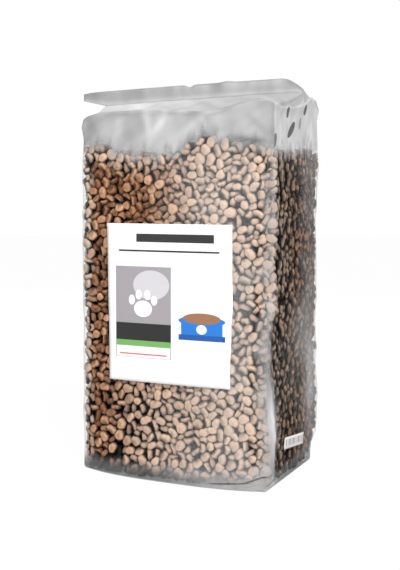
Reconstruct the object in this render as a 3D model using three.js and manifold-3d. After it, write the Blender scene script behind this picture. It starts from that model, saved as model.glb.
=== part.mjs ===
// A clear film bag of dry pet food, filled hard like a brick and closed by a fused fin on top.
// Millimetres, +Z up. The front panel faces -Y. The origin is on the base, midway between the
// upright creases.

import * as THREE from 'three';
import { mergeVertices } from 'three/addons/utils/BufferGeometryUtils.js';
import Module from 'manifold-3d';

const wasm = await Module();
wasm.setup();

// Bag: width and depth between the upright creases, and the height of its front shoulder.
const bagWidth = 225;
const bagDepth = 150;
const shoulderHeight = 400;

// Film: one sheet, its creases, and how far the fill pushes the back and the sides out.
const filmThickness = 0.15;
const creaseRadius = 6;
const baseRadius = 5;
const backCrown = 4;
const sideCrown = 3;

// Belly: how far the fill pushes the front panel out, from its foot to its shoulder.
const footSwell = 17;
const lowSwell = 8;
const lowHeight = 60;
const waistSwell = 5;
const waistHeight = 150;
const upperSwell = 4;
const upperHeight = 300;

// Lean: how far the right panel leans out at the shoulder.
const rightLean = 4;

// Shoulder: how far the top edge stands over the front shoulder at each corner.
const riseFrontLeft = -3;
const riseFrontRight = 7;
const riseBackRight = 18;
const riseBackLeft = 4;

// Slack film over the fill, drawn in with upright wrinkles.
const slackDepth = 3;
const wrinklePitch = 50;

// Heel: the lower rear edge is folded under on the slant, and bulges over the fold on the right.
const heelDepth = 16;
const heelHeight = 30;
const heelBulge = 9;
const bulgeHeight = 85;
const bulgeEnd = 130;

// Ridge of the top, from near the front left corner to behind the middle of the right side.
const ridgeInsetLeft = 24;
const ridgeSetbackLeft = 14;
const ridgeInsetRight = 7;
const ridgeSetbackRight = 108;
const ridgeRiseLeft = 9;
const ridgeRiseRight = 25;
const ridgeBow = 5;

// Fin: four plies fused together, rooted in the ridge and longer than it at both ends. Its left
// end narrows to a tip, and its right end slopes down to the corner.
const finHeight = 16;
const finPlies = 4;
const finOverhangLeft = 24;
const finOverhangRight = 7;
const finTipRise = 9;
const finTipDrop = 4;
const finSlopeRun = 34;
const finSlopeDrop = 13;
const finRoot = 1.2;

// Air slits in the right panel, over the fill. Each is set back from the front crease, drops below
// the shoulder's height, and leans back at the top by its slant in degrees.
const airSlits = [
	{ setback: 47, drop: 1, length: 14, width: 3, slant: 33 },
	{ setback: 60, drop: 18, length: 22, width: 6, slant: 40 },
	{ setback: 105, drop: - 4, length: 14, width: 3, slant: 33 },
];
const slitReach = 8;

// Fill: kibble, as one heap with a lump for each piece that lies against the film.
const kibblePitch = 11.5;
const kibbleRelief = 5.2;
const kibbleUnevenness = 1.2;
const kibbleScatter = 2.6;
const fillCornerRadius = 16;
const headspace = 40;
const fillClearance = 0.3;
const heapHeight = 16;
const heapRim = 8;
const heapOffset = 34;
const heapSpreadAcross = 30;
const heapSpreadThrough = 60;
const heapFoot = 250;

// Paper label on the front panel.
const labelWidth = 150;
const labelHeight = 174;
const labelThickness = 0.15;
const labelCentreHeight = 193;
const labelShift = -6;

// Code sticker low on the right panel, stuck on a little askew.
const stickerLength = 60;
const stickerHeight = 13;
const stickerCentreHeight = 38;
const stickerTilt = -7;

// Gap between a label and the film that it is stuck on.
const labelClearance = 0.3;

// Facets: how finely each curved surface is divided.
const filmCell = 25;
const slackRows = 4;
const roofRows = 4;
const finSteps = 14;
const labelCell = 19;
const slitSides = 10;

// The least cosine at which a station faces the front or the back squarely.
const squareOn = 0.99;

const halfWidth = bagWidth / 2;
const halfDepth = bagDepth / 2;
const fillTop = shoulderHeight - headspace;
const finThickness = finPlies * filmThickness;

const { lerp, clamp, smoothstep, degToRad } = THREE.MathUtils;

// Collects triangles, and merges their corners where they coincide.
class Skin {

	constructor() {

		this.positions = [];
		this.triangles = [];
		this.known = new Map();

	}

	corner( point ) {

		const key = point.toArray().map( ( value ) => Math.round( value * 1e4 ) ).join();
		if ( ! this.known.has( key ) ) {

			this.known.set( key, this.known.size );
			this.positions.push( point.x, point.y, point.z );

		}

		return this.known.get( key );

	}

	triangle( ...points ) {

		const corners = points.map( ( point ) => this.corner( point ) );
		if ( new Set( corners ).size === 3 ) this.triangles.push( ...corners );

	}

	quad( a, b, c, d ) {

		this.triangle( a, b, c );
		this.triangle( a, c, d );

	}

	// Joins each ring of points to the next one; seen from above, the rings run anticlockwise.
	loft( rings ) {

		for ( let row = 0; row + 1 < rings.length; row ++ ) {

			const [ lower, upper ] = [ rings[ row ], rings[ row + 1 ] ];
			lower.forEach( ( point, i ) => {

				const next = ( i + 1 ) % lower.length;
				this.quad( point, lower[ next ], upper[ next ], upper[ i ] );

			} );

		}

	}

	geometry() {

		const geometry = new THREE.BufferGeometry();
		geometry.setAttribute( 'position', new THREE.Float32BufferAttribute( this.positions, 3 ) );
		geometry.setIndex( this.triangles );
		return geometry;

	}

}

function toSolid( geometry ) {

	const bare = geometry.clone();
	bare.deleteAttribute( 'normal' );
	bare.deleteAttribute( 'uv' );
	const merged = mergeVertices( bare );
	return new wasm.Manifold( new wasm.Mesh( {
		numProp: 3,
		vertProperties: new Float32Array( merged.attributes.position.array ),
		triVerts: new Uint32Array( merged.index.array ),
	} ) );

}

function toGeometry( solid ) {

	const mesh = solid.getMesh();
	const geometry = new THREE.BufferGeometry();
	geometry.setAttribute( 'position', new THREE.BufferAttribute( mesh.vertProperties, 3 ) );
	geometry.setIndex( new THREE.BufferAttribute( mesh.triVerts, 1 ) );
	return geometry;

}

// A repeatable number from -1 to 1 for a place in a lattice.
function scatter( ...place ) {

	const [ weight, step, stretch ] = [ 12.9898, 65.233, 43758.5453 ];
	const mixed = place.reduce( ( sum, value, i ) => sum + value * ( weight + step * i ), 0 );
	const wave = Math.sin( mixed ) * stretch;
	return 2 * ( wave - Math.floor( wave ) ) - 1;

}

// The front panel's swell by height, straight between its bends.
const belly = [
	{ height: 0, swell: footSwell }, { height: lowHeight, swell: lowSwell },
	{ height: waistHeight, swell: waistSwell }, { height: upperHeight, swell: upperSwell },
	{ height: shoulderHeight, swell: 0 },
];

function swellAt( z ) {

	const height = clamp( z, 0, shoulderHeight );
	const above = Math.max( 1, belly.findIndex( ( bend ) => bend.height >= height ) );
	const [ lower, upper ] = [ belly[ above - 1 ], belly[ above ] ];
	const share = ( height - lower.height ) / ( upper.height - lower.height );
	return lerp( lower.swell, upper.swell, share );

}

// How far the rear panel stands out at its foot: in at the heel's fold, and out over it.
function heelAt( z, right ) {

	const unfolded = clamp( z / heelHeight, 0, 1 );
	const bulging = clamp( ( bulgeEnd - z ) / ( bulgeEnd - bulgeHeight ), 0, 1 );
	return heelBulge * right * unfolded * bulging - heelDepth * ( 1 - unfolded );

}

// How the straight block becomes a filled bag: crowned panels with a belly at the front, a lean
// to the right, and the heel drawn under.
function settle( point ) {

	const fullness = Math.sin( Math.PI * clamp( point.z / shoulderHeight, 0, 1 ) );
	const across = clamp( point.x / halfWidth, - 1, 1 );
	const through = clamp( point.y / halfDepth, - 1, 1 );
	const right = ( 1 + across ) / 2;
	const crown = through > 0 ? backCrown * fullness : swellAt( point.z );
	return new THREE.Vector3(
		point.x + sideCrown * across * ( 1 - through ** 2 ) * fullness
			+ rightLean * right * clamp( point.z / shoulderHeight, 0, 1 ),
		point.y + crown * through * ( 1 - across ** 2 ) + Math.max( 0, through ) * heelAt( point.z, right ),
		point.z,
	);

}

function shoulderAt( { x, y } ) {

	const right = clamp( 0.5 + x / bagWidth, 0, 1 );
	const back = clamp( 0.5 + y / bagDepth, 0, 1 );
	return shoulderHeight + lerp(
		lerp( riseFrontLeft, riseFrontRight, right ),
		lerp( riseBackLeft, riseBackRight, right ),
		back,
	);

}

// The ridge: a bowed line from 0 at its left end to 1 at its right end, and on past both.
const ridgeStart = new THREE.Vector3(
	- halfWidth + ridgeInsetLeft, - halfDepth + ridgeSetbackLeft, shoulderHeight + ridgeRiseLeft,
);
const ridgeEnd = new THREE.Vector3(
	halfWidth - ridgeInsetRight, - halfDepth + ridgeSetbackRight, shoulderHeight + ridgeRiseRight,
);
const ridgeRun = ridgeEnd.clone().sub( ridgeStart ).setZ( 0 );
const ridgeAside = new THREE.Vector3( ridgeRun.y, - ridgeRun.x, 0 ).normalize();

function ridgeAt( share ) {

	const bow = 4 * ridgeBow * share * ( 1 - share );
	return ridgeStart.clone().lerp( ridgeEnd, share ).addScaledVector( ridgeAside, bow );

}

// Stations round the bag, anticlockwise from the front left corner.
function filmStations() {

	const middle = new THREE.Vector2( halfWidth - creaseRadius, halfDepth - creaseRadius );
	const signs = [ [ - 1, - 1 ], [ 1, - 1 ], [ 1, 1 ], [ - 1, 1 ] ];
	const centres = signs.map( ( pair ) => middle.clone().multiply( new THREE.Vector2( ...pair ) ) );
	return centres.flatMap( ( centre, index ) => {

		const onArc = [ 0, 0.5, 1 ].map( ( part ) => {

			const angle = Math.PI * ( 1 + ( index + part ) / 2 );
			const side = new THREE.Vector2( Math.cos( angle ), Math.sin( angle ) );
			return { place: centre.clone().addScaledVector( side, creaseRadius ), side };

		} );
		const { place, side } = onArc.at( - 1 );
		const end = centres[ ( index + 1 ) % 4 ].clone().addScaledVector( side, creaseRadius );
		const cells = Math.max( 2, Math.round( place.distanceTo( end ) / filmCell ) );
		const onPanel = Array.from( { length: cells - 1 }, ( _, i ) => (
			{ place: place.clone().lerp( end, ( i + 1 ) / cells ), side }
		) );
		return [ ...onArc, ...onPanel ];

	} );

}

// How far the slack film over the fill is drawn in.
function slackAt( { place }, z ) {

	const open = Math.sin( Math.PI * clamp( ( z - fillTop ) / headspace, 0, 1 ) ) ** 2;
	const wrinkle = 0.5 + 0.5 * Math.cos( 2 * Math.PI * ( place.x + place.y ) / wrinklePitch );
	return slackDepth * open * wrinkle;

}

// The spot on the ridge that a station's film runs up to: the narrow sides meet its ends, which
// lie a little closer together on the film's inside.
function ridgeSpot( { place, side }, inset ) {

	const least = 2 * inset / ridgeRun.length();
	const widePanel = Math.abs( side.y ) > squareOn;
	const along = widePanel ? 0.5 + place.x / ( bagWidth - 2 * creaseRadius ) : Number( side.x > 0 );
	return ridgeAt( clamp( along, least, 1 - least ) );

}

// The heights of the film's rings up the walls: at every bend, and between them where they are
// far apart.
function wallLevels() {

	const bends = [
		baseRadius, heelHeight, lowHeight, bulgeHeight, bulgeEnd, waistHeight, upperHeight, fillTop,
	].sort( ( low, high ) => low - high );
	return bends.slice( 1 ).flatMap( ( high, i ) => {

		const rows = Math.max( 1, Math.round( ( high - bends[ i ] ) / filmCell ) );
		return Array.from( { length: rows }, ( _, row ) => lerp( bends[ i ], high, row / rows ) );

	} );

}

// One face of the film: its outside, or its inside where it is inset by the film's thickness.
function filmFace( inset ) {

	const stations = filmStations();
	const rings = [];
	const addRing = ( shape ) => rings.push( stations.map( ( spot ) => settle( shape( spot ) ) ) );
	const wallPoint = ( { place, side }, z, drawnIn = 0 ) => new THREE.Vector3(
		place.x - side.x * ( inset + drawnIn ), place.y - side.y * ( inset + drawnIn ), z,
	);
	const wallTop = ( spot ) => wallPoint( spot, shoulderAt( spot.place ) - inset );
	const edge = baseRadius - inset;

	for ( const angle of [ 0, Math.PI / 4 ] ) {

		const height = inset + edge * ( 1 - Math.cos( angle ) );
		addRing( ( spot ) => wallPoint( spot, height, edge * ( 1 - Math.sin( angle ) ) ) );

	}

	wallLevels().forEach( ( level ) => addRing( ( spot ) => wallPoint( spot, level ) ) );

	for ( let row = 0; row < slackRows; row ++ ) {

		addRing( ( spot ) => {

			const z = lerp( fillTop, wallTop( spot ).z, row / slackRows );
			return wallPoint( spot, z, slackAt( spot, z ) );

		} );

	}

	const below = new THREE.Vector3( 0, 0, - inset );
	for ( let row = 0; row <= roofRows; row ++ ) {

		addRing( ( spot ) => (
			wallTop( spot ).lerp( ridgeSpot( spot, inset ).add( below ), row / roofRows )
		) );

	}

	const skin = new Skin();
	skin.loft( rings );
	const [ foot ] = rings;
	const middle = settle( new THREE.Vector3( 0, 0, inset ) );
	foot.forEach( ( point, i ) => skin.triangle( middle, foot[ ( i + 1 ) % foot.length ], point ) );
	return skin.geometry();

}

// The fin stands on the ridge and reaches past each end of it.
function finGeometry() {

	const run = ridgeRun.length();
	const first = - finOverhangLeft / run;
	const last = 1 + finOverhangRight / run;
	const slopeStart = last - finSlopeRun / run;
	const rings = [];
	for ( let step = 0; step <= finSteps; step ++ ) {

		const share = lerp( first, last, step / finSteps );
		const spot = ridgeAt( share );
		const past = Math.max( share / first, 0 );
		const low = spot.z + ( past > 0 ? finTipRise * past : - finRoot );
		const slope = finSlopeDrop * smoothstep( share, slopeStart, last );
		const high = spot.z + finHeight - finTipDrop * past ** 2 - slope;
		const thick = ridgeAside.clone().multiplyScalar( finThickness / 2 );
		const front = spot.clone().add( thick );
		const back = spot.clone().sub( thick );
		rings.push( [
			front.clone().setZ( low ), back.clone().setZ( low ),
			back.clone().setZ( high ), front.clone().setZ( high ),
		] );

	}

	const skin = new Skin();
	skin.loft( rings );
	skin.quad( ...rings[ 0 ].toReversed() );
	skin.quad( ...rings.at( - 1 ) );
	return skin.geometry();

}

// A slit's oval bar, which runs through the right panel along X.
function slitGeometry( { setback, drop, length, width, slant } ) {

	return new THREE.CylinderGeometry( 0.5, 0.5, 2 * slitReach, slitSides )
		.rotateZ( Math.PI / 2 )
		.scale( 1, width, length )
		.rotateX( - degToRad( slant ) )
		.translate( halfWidth, - halfDepth + setback, shoulderHeight - drop );

}

function filmBag() {

	const outside = toSolid( filmFace( 0 ) ).add( toSolid( finGeometry() ) );
	let film = outside.subtract( toSolid( filmFace( filmThickness ) ) );
	for ( const slit of airSlits ) film = film.subtract( toSolid( slitGeometry( slit ) ) );
	return toGeometry( film );

}

// How far the heap stands over the level of the fill: highest right of the middle, and at the rim.
function heapAt( { x, y } ) {

	const across = ( x - heapOffset ) / heapSpreadAcross;
	const through = y / heapSpreadThrough;
	return heapHeight * Math.exp( - ( across ** 2 + through ** 2 ) / 2 ) + heapRim * ( x / halfWidth ) ** 4;

}

// A block with rounded edges, each face divided into cells: one lump of kibble in each cell.
function kibbleFill() {

	const gap = filmThickness + fillClearance;
	const half = new THREE.Vector3( halfWidth - gap, halfDepth - gap, fillTop / 2 - gap );
	const centre = new THREE.Vector3( 0, 0, fillTop / 2 );
	const cells = half.toArray().map( ( reach ) => Math.round( 2 * reach / kibblePitch ) );
	const core = half.clone().subScalar( fillCornerRadius );

	// A lattice point is counted in half cells: even ones are gaps, odd ones are kibble.
	const surfacePoint = ( lattice, isKibble ) => {

		const inBlock = new THREE.Vector3( ...lattice.map( ( count, axis ) => {

			const atEdge = count === 0 || count === 2 * cells[ axis ];
			const nudge = atEdge ? 0 : kibbleScatter * scatter( ...lattice, axis );
			return ( count / cells[ axis ] - 1 ) * half.getComponent( axis ) + nudge;

		} ) );
		const inCore = inBlock.clone().clamp( core.clone().negate(), core );
		const outward = inBlock.sub( inCore ).normalize();
		const uneven = kibbleUnevenness * ( 0.5 + 0.5 * scatter( ...lattice, cells.length ) );
		const sunk = isKibble ? uneven : kibbleRelief + uneven;
		const point = inCore.addScaledVector( outward, fillCornerRadius - sunk ).add( centre );
		point.z += heapAt( point ) * smoothstep( point.z, heapFoot, fillTop );
		return settle( point );

	};

	const skin = new Skin();
	for ( const axis of [ 0, 1, 2 ] ) {

		const [ u, v ] = [ ( axis + 1 ) % 3, ( axis + 2 ) % 3 ];
		for ( const farSide of [ 0, 1 ] ) {

			const spot = ( i, j ) => {

				const lattice = [];
				lattice[ axis ] = farSide * 2 * cells[ axis ];
				lattice[ u ] = i;
				lattice[ v ] = j;
				return surfacePoint( lattice, i % 2 === 1 );

			};

			for ( let i = 0; i < cells[ u ]; i ++ ) {

				for ( let j = 0; j < cells[ v ]; j ++ ) {

					const rim = [ [ 0, 0 ], [ 2, 0 ], [ 2, 2 ], [ 0, 2 ] ]
						.map( ( [ du, dv ] ) => spot( 2 * i + du, 2 * j + dv ) );
					const kibble = spot( 2 * i + 1, 2 * j + 1 );
					rim.forEach( ( corner, k ) => {

						const pair = [ corner, rim[ ( k + 1 ) % 4 ] ];
						skin.triangle( kibble, ...( farSide ? pair : pair.reverse() ) );

					} );

				}

			}

		}

	}

	return skin.geometry();

}

// A thin plate that lies on a panel; place( along, up, out ) gives the straight block's point.
function stuckPlate( length, height, place ) {

	const columns = Math.max( 1, Math.round( length / labelCell ) );
	const rows = Math.max( 1, Math.round( height / labelCell ) );
	const spot = ( i, j, out ) => settle( place(
		length * ( i / columns - 0.5 ), height * ( j / rows - 0.5 ), out,
	) );
	const near = labelClearance;
	const far = labelClearance + labelThickness;
	const skin = new Skin();
	for ( let i = 0; i < columns; i ++ ) {

		for ( let j = 0; j < rows; j ++ ) {

			const face = ( out ) => [
				spot( i, j, out ), spot( i + 1, j, out ), spot( i + 1, j + 1, out ), spot( i, j + 1, out ),
			];
			skin.quad( ...face( far ) );
			skin.quad( ...face( near ).reverse() );

		}

	}

	const edge = [];
	for ( let i = 0; i < columns; i ++ ) edge.push( [ i, 0 ] );
	for ( let j = 0; j < rows; j ++ ) edge.push( [ columns, j ] );
	for ( let i = columns; i > 0; i -- ) edge.push( [ i, rows ] );
	for ( let j = rows; j > 0; j -- ) edge.push( [ 0, j ] );
	edge.forEach( ( [ i, j ], index ) => {

		const [ nextI, nextJ ] = edge[ ( index + 1 ) % edge.length ];
		skin.quad(
			spot( i, j, near ), spot( nextI, nextJ, near ), spot( nextI, nextJ, far ), spot( i, j, far ),
		);

	} );
	return skin.geometry();

}

function frontLabel() {

	return stuckPlate( labelWidth, labelHeight, ( along, up, out ) => new THREE.Vector3(
		labelShift + along, - halfDepth - out, labelCentreHeight + up,
	) );

}

function codeSticker() {

	const tilt = degToRad( stickerTilt );
	return stuckPlate( stickerLength, stickerHeight, ( along, up, out ) => new THREE.Vector3(
		halfWidth + out,
		along * Math.cos( tilt ) - up * Math.sin( tilt ),
		stickerCentreHeight + along * Math.sin( tilt ) + up * Math.cos( tilt ),
	) );

}

const clearFilm = new THREE.MeshStandardMaterial( {
	color: 0xc8c9c9, roughness: 0.22, metalness: 0, transparent: true, opacity: 0.35,
} );
const kibbleTan = new THREE.MeshStandardMaterial( { color: 0xb4875f, roughness: 0.8, metalness: 0 } );
const labelPaper = new THREE.MeshStandardMaterial( { color: 0xfafafa, roughness: 0.5, metalness: 0 } );
const stickerPaper = new THREE.MeshStandardMaterial( { color: 0xe6e6e6, roughness: 0.6, metalness: 0 } );

const petFoodBag = new THREE.Group();

function addPiece( name, geometry, material ) {

	const piece = new THREE.Mesh( geometry, material );
	piece.name = name;
	petFoodBag.add( piece );

}

addPiece( 'film_bag', filmBag(), clearFilm );
addPiece( 'kibble_fill', kibbleFill(), kibbleTan );
addPiece( 'front_label', frontLabel(), labelPaper );
addPiece( 'side_label', codeSticker(), stickerPaper );

export default petFoodBag;
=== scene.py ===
"""A clear film bag of dry pet food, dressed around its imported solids.

The bag stands on the floor at the origin, +Z up, with its labelled front facing -Y. Sizes in the
classes are millimetres, and a mesh is turned into metres when it is made. The block is the straight
box that the bag would be without its fill; settling turns points of the block into the filled bag.
"""

from __future__ import annotations

import logging
import math
from collections.abc import Callable
from dataclasses import dataclass, field
from enum import Enum

import bmesh
import bpy
import numpy as np
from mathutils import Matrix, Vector

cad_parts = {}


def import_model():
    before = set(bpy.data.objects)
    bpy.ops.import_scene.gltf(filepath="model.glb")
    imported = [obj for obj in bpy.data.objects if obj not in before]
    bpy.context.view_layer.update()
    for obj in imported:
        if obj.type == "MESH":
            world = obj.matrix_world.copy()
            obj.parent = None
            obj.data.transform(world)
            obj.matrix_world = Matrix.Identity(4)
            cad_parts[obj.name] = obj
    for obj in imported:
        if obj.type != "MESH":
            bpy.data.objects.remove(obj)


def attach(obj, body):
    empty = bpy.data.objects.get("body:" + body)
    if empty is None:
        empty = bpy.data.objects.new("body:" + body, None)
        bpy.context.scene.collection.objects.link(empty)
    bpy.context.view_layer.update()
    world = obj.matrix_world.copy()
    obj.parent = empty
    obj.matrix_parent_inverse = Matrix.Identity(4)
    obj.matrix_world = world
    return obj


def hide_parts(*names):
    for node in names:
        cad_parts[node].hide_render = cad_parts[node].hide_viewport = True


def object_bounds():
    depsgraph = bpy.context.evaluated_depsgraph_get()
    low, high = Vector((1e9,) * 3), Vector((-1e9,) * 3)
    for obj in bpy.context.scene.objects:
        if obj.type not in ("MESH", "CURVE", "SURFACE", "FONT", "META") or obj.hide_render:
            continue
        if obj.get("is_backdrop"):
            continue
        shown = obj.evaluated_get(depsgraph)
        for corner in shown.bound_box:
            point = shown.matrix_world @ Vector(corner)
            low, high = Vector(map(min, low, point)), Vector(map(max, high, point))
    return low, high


log = logging.getLogger("pet_food_bag")

MM = 0.001
ROOT = "root"
HALF_WIDTH = 112.5
HALF_DEPTH = 75.0
FILM_THICKNESS = 0.15
SQUARE_ON = 0.7
DEAD_ON = 0.999
NEARLY_LEVEL = 0.9
TINY = 1e-6

Profile = tuple[tuple[float, float], ...]
Ring = tuple[np.ndarray, np.ndarray]
Tint = tuple[float, float, float, float]

WHITE: Tint = (1.0, 1.0, 1.0, 1.0)


class Corner(Enum):
    """The bag's upright creases, with the side of the block that each is on."""

    FRONT_LEFT = (-1, -1)
    FRONT_RIGHT = (1, -1)
    BACK_RIGHT = (1, 1)
    BACK_LEFT = (-1, 1)


class Face(Enum):
    """The four upright panels, in the order in which a walk round the bag meets them."""

    FRONT = 0
    RIGHT = 1
    BACK = 2
    LEFT = 3

    @property
    def along(self) -> int:
        """Which coordinate runs along the panel: 0 for x and 1 for y."""
        return self.value % 2


def follow(profile: Profile, at: np.ndarray) -> np.ndarray:
    """A profile's value at each place, straight between its points.

    Args:
        profile: Pairs of a place and a value, in order of place.
        at: The places.

    Returns:
        One value for each place.
    """
    places, values = np.array(profile, float).T
    return np.interp(at, places, values)


def ease(low: float, high: float, at: np.ndarray) -> np.ndarray:
    """A smooth step from 0 at low to 1 at high; low may be the greater one.

    Args:
        low: The place where the step starts.
        high: The place where it ends.
        at: The places.

    Returns:
        A share from 0 to 1 for each place.
    """
    share = np.clip((at - low) / (high - low), 0, 1)
    return share * share * (3 - 2 * share)


def ripple(at: np.ndarray, pitch: float, seed: float) -> np.ndarray:
    """Uneven waves from -1 to 1, the sum of three sines.

    Args:
        at: The places.
        pitch: The longest wave.
        seed: What shifts the waves against each other.

    Returns:
        A height for each place.
    """
    turn = 2 * math.pi * at / pitch
    sines = ((1.0, 1.0, 1.0), (0.6, 1.73, 2.1), (0.4, 2.9, 3.7))
    return sum(height * np.sin(often * turn + shift * seed) for height, often, shift in sines) / 2


@dataclass(frozen=True)
class Waves:
    """Uneven waves with their height, their longest wave and their seed."""

    height: float
    pitch: float
    seed: float

    def at(self, place: np.ndarray) -> np.ndarray:
        """The height of the waves at each place."""
        return self.height * ripple(place, self.pitch, self.seed)


@dataclass(frozen=True)
class BagForm:
    """The bag's block, and how its fill and its folds bend it."""

    half_width: float = HALF_WIDTH
    half_depth: float = HALF_DEPTH
    fill_top: float = 360.0
    shoulder: float = 400.0
    crease_radius: float = 4.0
    base_radius: float = 5.0
    side_crown: float = 3.0
    back_crown: float = 4.0
    front_crown: Profile = (
        (0, 16.5), (8, 17), (22, 14), (60, 8), (150, 5), (300, 4), (380, 1), (410, 0),
    )
    belly_shift: Profile = ((0, -8), (120, 0))
    belly_flatness: float = 3.0
    drift_front_left: Profile = ((0, -2), (40, -2), (100, -1.5), (200, -1.5), (300, -0.5), (400, 0))
    drift_front_right: Profile = ((0, -2), (15, 0), (130, -0.5), (160, 2), (250, 4), (400, 5))
    crumple_front_right: Profile = (
        (40, 0), (62, 1), (90, -2), (112, -5), (174, -6), (184, -2), (194, 2), (206, 1),
        (230, -1.5), (270, 0),
    )
    crumple_reach: float = 7.0
    drift_back_right: Profile = ((0, 1), (30, 3), (120, 3), (240, 2), (330, 4), (410, 3))
    heave_back_right: Profile = (
        (0, -18), (4, -15), (21, -8), (32, 10), (87, 9), (127, -1), (180, 0),
        (232, 5), (285, -4), (330, -1), (366, 2), (410, -2),
    )
    heave_back_left: Profile = ((0, -16), (30, 1), (100, 4), (180, -3), (260, 3), (340, -2), (410, 0))

    def settle(self, points: np.ndarray) -> np.ndarray:
        """Turns points of the straight block into points of the filled bag.

        Args:
            points: Places in the block, one row each.

        Returns:
            The places in the bag.
        """
        x, y, z = points[:, 0], points[:, 1], points[:, 2]
        across = np.clip(x / self.half_width, -1, 1)
        through = np.clip(y / self.half_depth, -1, 1)
        right, left = (1 + across) / 2, (1 - across) / 2
        back, front = (1 + through) / 2, (1 - through) / 2
        moved = points.copy()
        moved[:, 0] += follow(self.drift_front_left, z) * left * front
        moved[:, 0] += follow(self.drift_front_right, z) * right * front
        moved[:, 0] += follow(self.drift_back_right, z) * right * back
        moved[:, 0] += follow(self.crumple_front_right, z) * right**self.crumple_reach * front**2
        moved[:, 1] += follow(self.heave_back_right, z) * right * np.maximum(through, 0) ** 2
        moved[:, 1] += follow(self.heave_back_left, z) * left * np.maximum(through, 0) ** 2
        fullness = np.sin(math.pi * np.clip(z / self.shoulder, 0, 1))
        moved[:, 0] += self.side_crown * across * (1 - through**2) * fullness
        moved[:, 1] += self.back_crown * np.maximum(through, 0) * (1 - across**2) * fullness
        belly = follow(self.belly_shift, z)
        reach = np.where(x < belly, self.half_width + belly, self.half_width - belly)
        hump = 1 - np.clip(np.abs(x - belly) / reach, 0, 1) ** self.belly_flatness
        moved[:, 1] += follow(self.front_crown, z) * np.minimum(through, 0) * hump
        return moved

    def spans(self, radius: float) -> np.ndarray:
        """Where each side and each corner of the block's plan starts, and the whole way round.

        Args:
            radius: The radius of the corners.

        Returns:
            Nine distances, walked from the front left.
        """
        wide, deep = 2 * (self.half_width - radius), 2 * (self.half_depth - radius)
        turn = math.pi / 2 * radius
        return np.concatenate([[0], np.cumsum([wide, turn, deep, turn] * 2)])

    def outline(self, along: np.ndarray, radius: float) -> tuple[np.ndarray, np.ndarray]:
        """The block's plan by distance walked, anticlockwise from its front left.

        Args:
            along: The distances.
            radius: The radius of the corners.

        Returns:
            The places on the plan, and the outward direction at each.
        """
        starts = self.spans(radius)
        walked = np.mod(along, starts[-1])
        part = np.clip(np.searchsorted(starts, walked, side="right") - 1, 0, 7)
        rest = walked - starts[part]
        side, on_arc = part // 2, part % 2 == 1
        centres = np.array([corner.value for corner in Corner], float)
        centres *= (self.half_width - radius, self.half_depth - radius)
        heading = side * math.pi / 2 + np.where(on_arc, rest / max(radius, TINY), 0)
        outward = np.stack([np.sin(heading), -np.cos(heading)], 1)
        forward = np.stack([np.cos(heading), np.sin(heading)], 1)
        centre = centres[(side + on_arc) % 4]
        straight = np.where(on_arc, 0, rest)[:, None] * forward
        return centre + outward * radius + straight, outward


@dataclass(frozen=True)
class TopForm:
    """The bag's closed top: its shoulder line, and the ridge where the film meets."""

    shoulder_front: Profile = (
        (-113, 386), (-109, 393), (-104, 397), (-87, 401), (-18, 402), (20, 398), (41, 397),
        (53, 400), (74, 405), (93, 409), (104, 408), (113, 404),
    )
    shoulder_right: Profile = (
        (-75, 404), (-64, 401), (-40, 402), (-14, 404), (21, 411), (42, 419), (60, 417), (75, 404),
    )
    shoulder_back: Profile = ((-113, 398), (-60, 405), (0, 408), (60, 411), (100, 409), (113, 404))
    shoulder_left: Profile = ((-75, 386), (-50, 394), (0, 397), (60, 400), (75, 398))
    ridge_start: tuple[float, float, float] = (-88.5, -61.0, 409.0)
    ridge_end: tuple[float, float, float] = (107.0, 34.0, 425.0)
    ridge_bow: float = 5.0
    roof_sag: float = 2.5

    def shoulder_at(self, place: np.ndarray, outward: np.ndarray) -> np.ndarray:
        """The shoulder's height at places on the block's plan.

        Args:
            place: The places.
            outward: The outward direction at each.

        Returns:
            One height for each place.
        """
        x, y = place.T
        weights = facings(outward)
        heights = np.stack([
            follow(self.shoulder_front, x), follow(self.shoulder_right, y),
            follow(self.shoulder_back, x), follow(self.shoulder_left, y),
        ])
        return (weights * heights).sum(0) / weights.sum(0)

    def ridge_at(self, share: np.ndarray) -> np.ndarray:
        """Points on the bowed ridge line.

        Args:
            share: How far along it each point is, from 0 at the left to 1 at the right.

        Returns:
            One point for each share.
        """
        start, end = np.array(self.ridge_start), np.array(self.ridge_end)
        points = start + share[:, None] * (end - start)
        return points + (4 * self.ridge_bow * share * (1 - share))[:, None] * self.ridge_aside()

    def ridge_aside(self) -> np.ndarray:
        """The level direction square to the ridge, towards the front."""
        run = np.array(self.ridge_end) - np.array(self.ridge_start)
        aside = np.array([run[1], -run[0], 0.0])
        return aside / np.linalg.norm(aside)


def facings(outward: np.ndarray) -> np.ndarray:
    """How far each direction faces the front, the right, the back and the left.

    Args:
        outward: The directions, one row each.

    Returns:
        Four rows of shares from 0 to 1, in the order of Face.
    """
    x, y = outward[:, 0], outward[:, 1]
    return np.clip(np.stack([-y, x, y, -x]), 0, 1)


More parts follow.
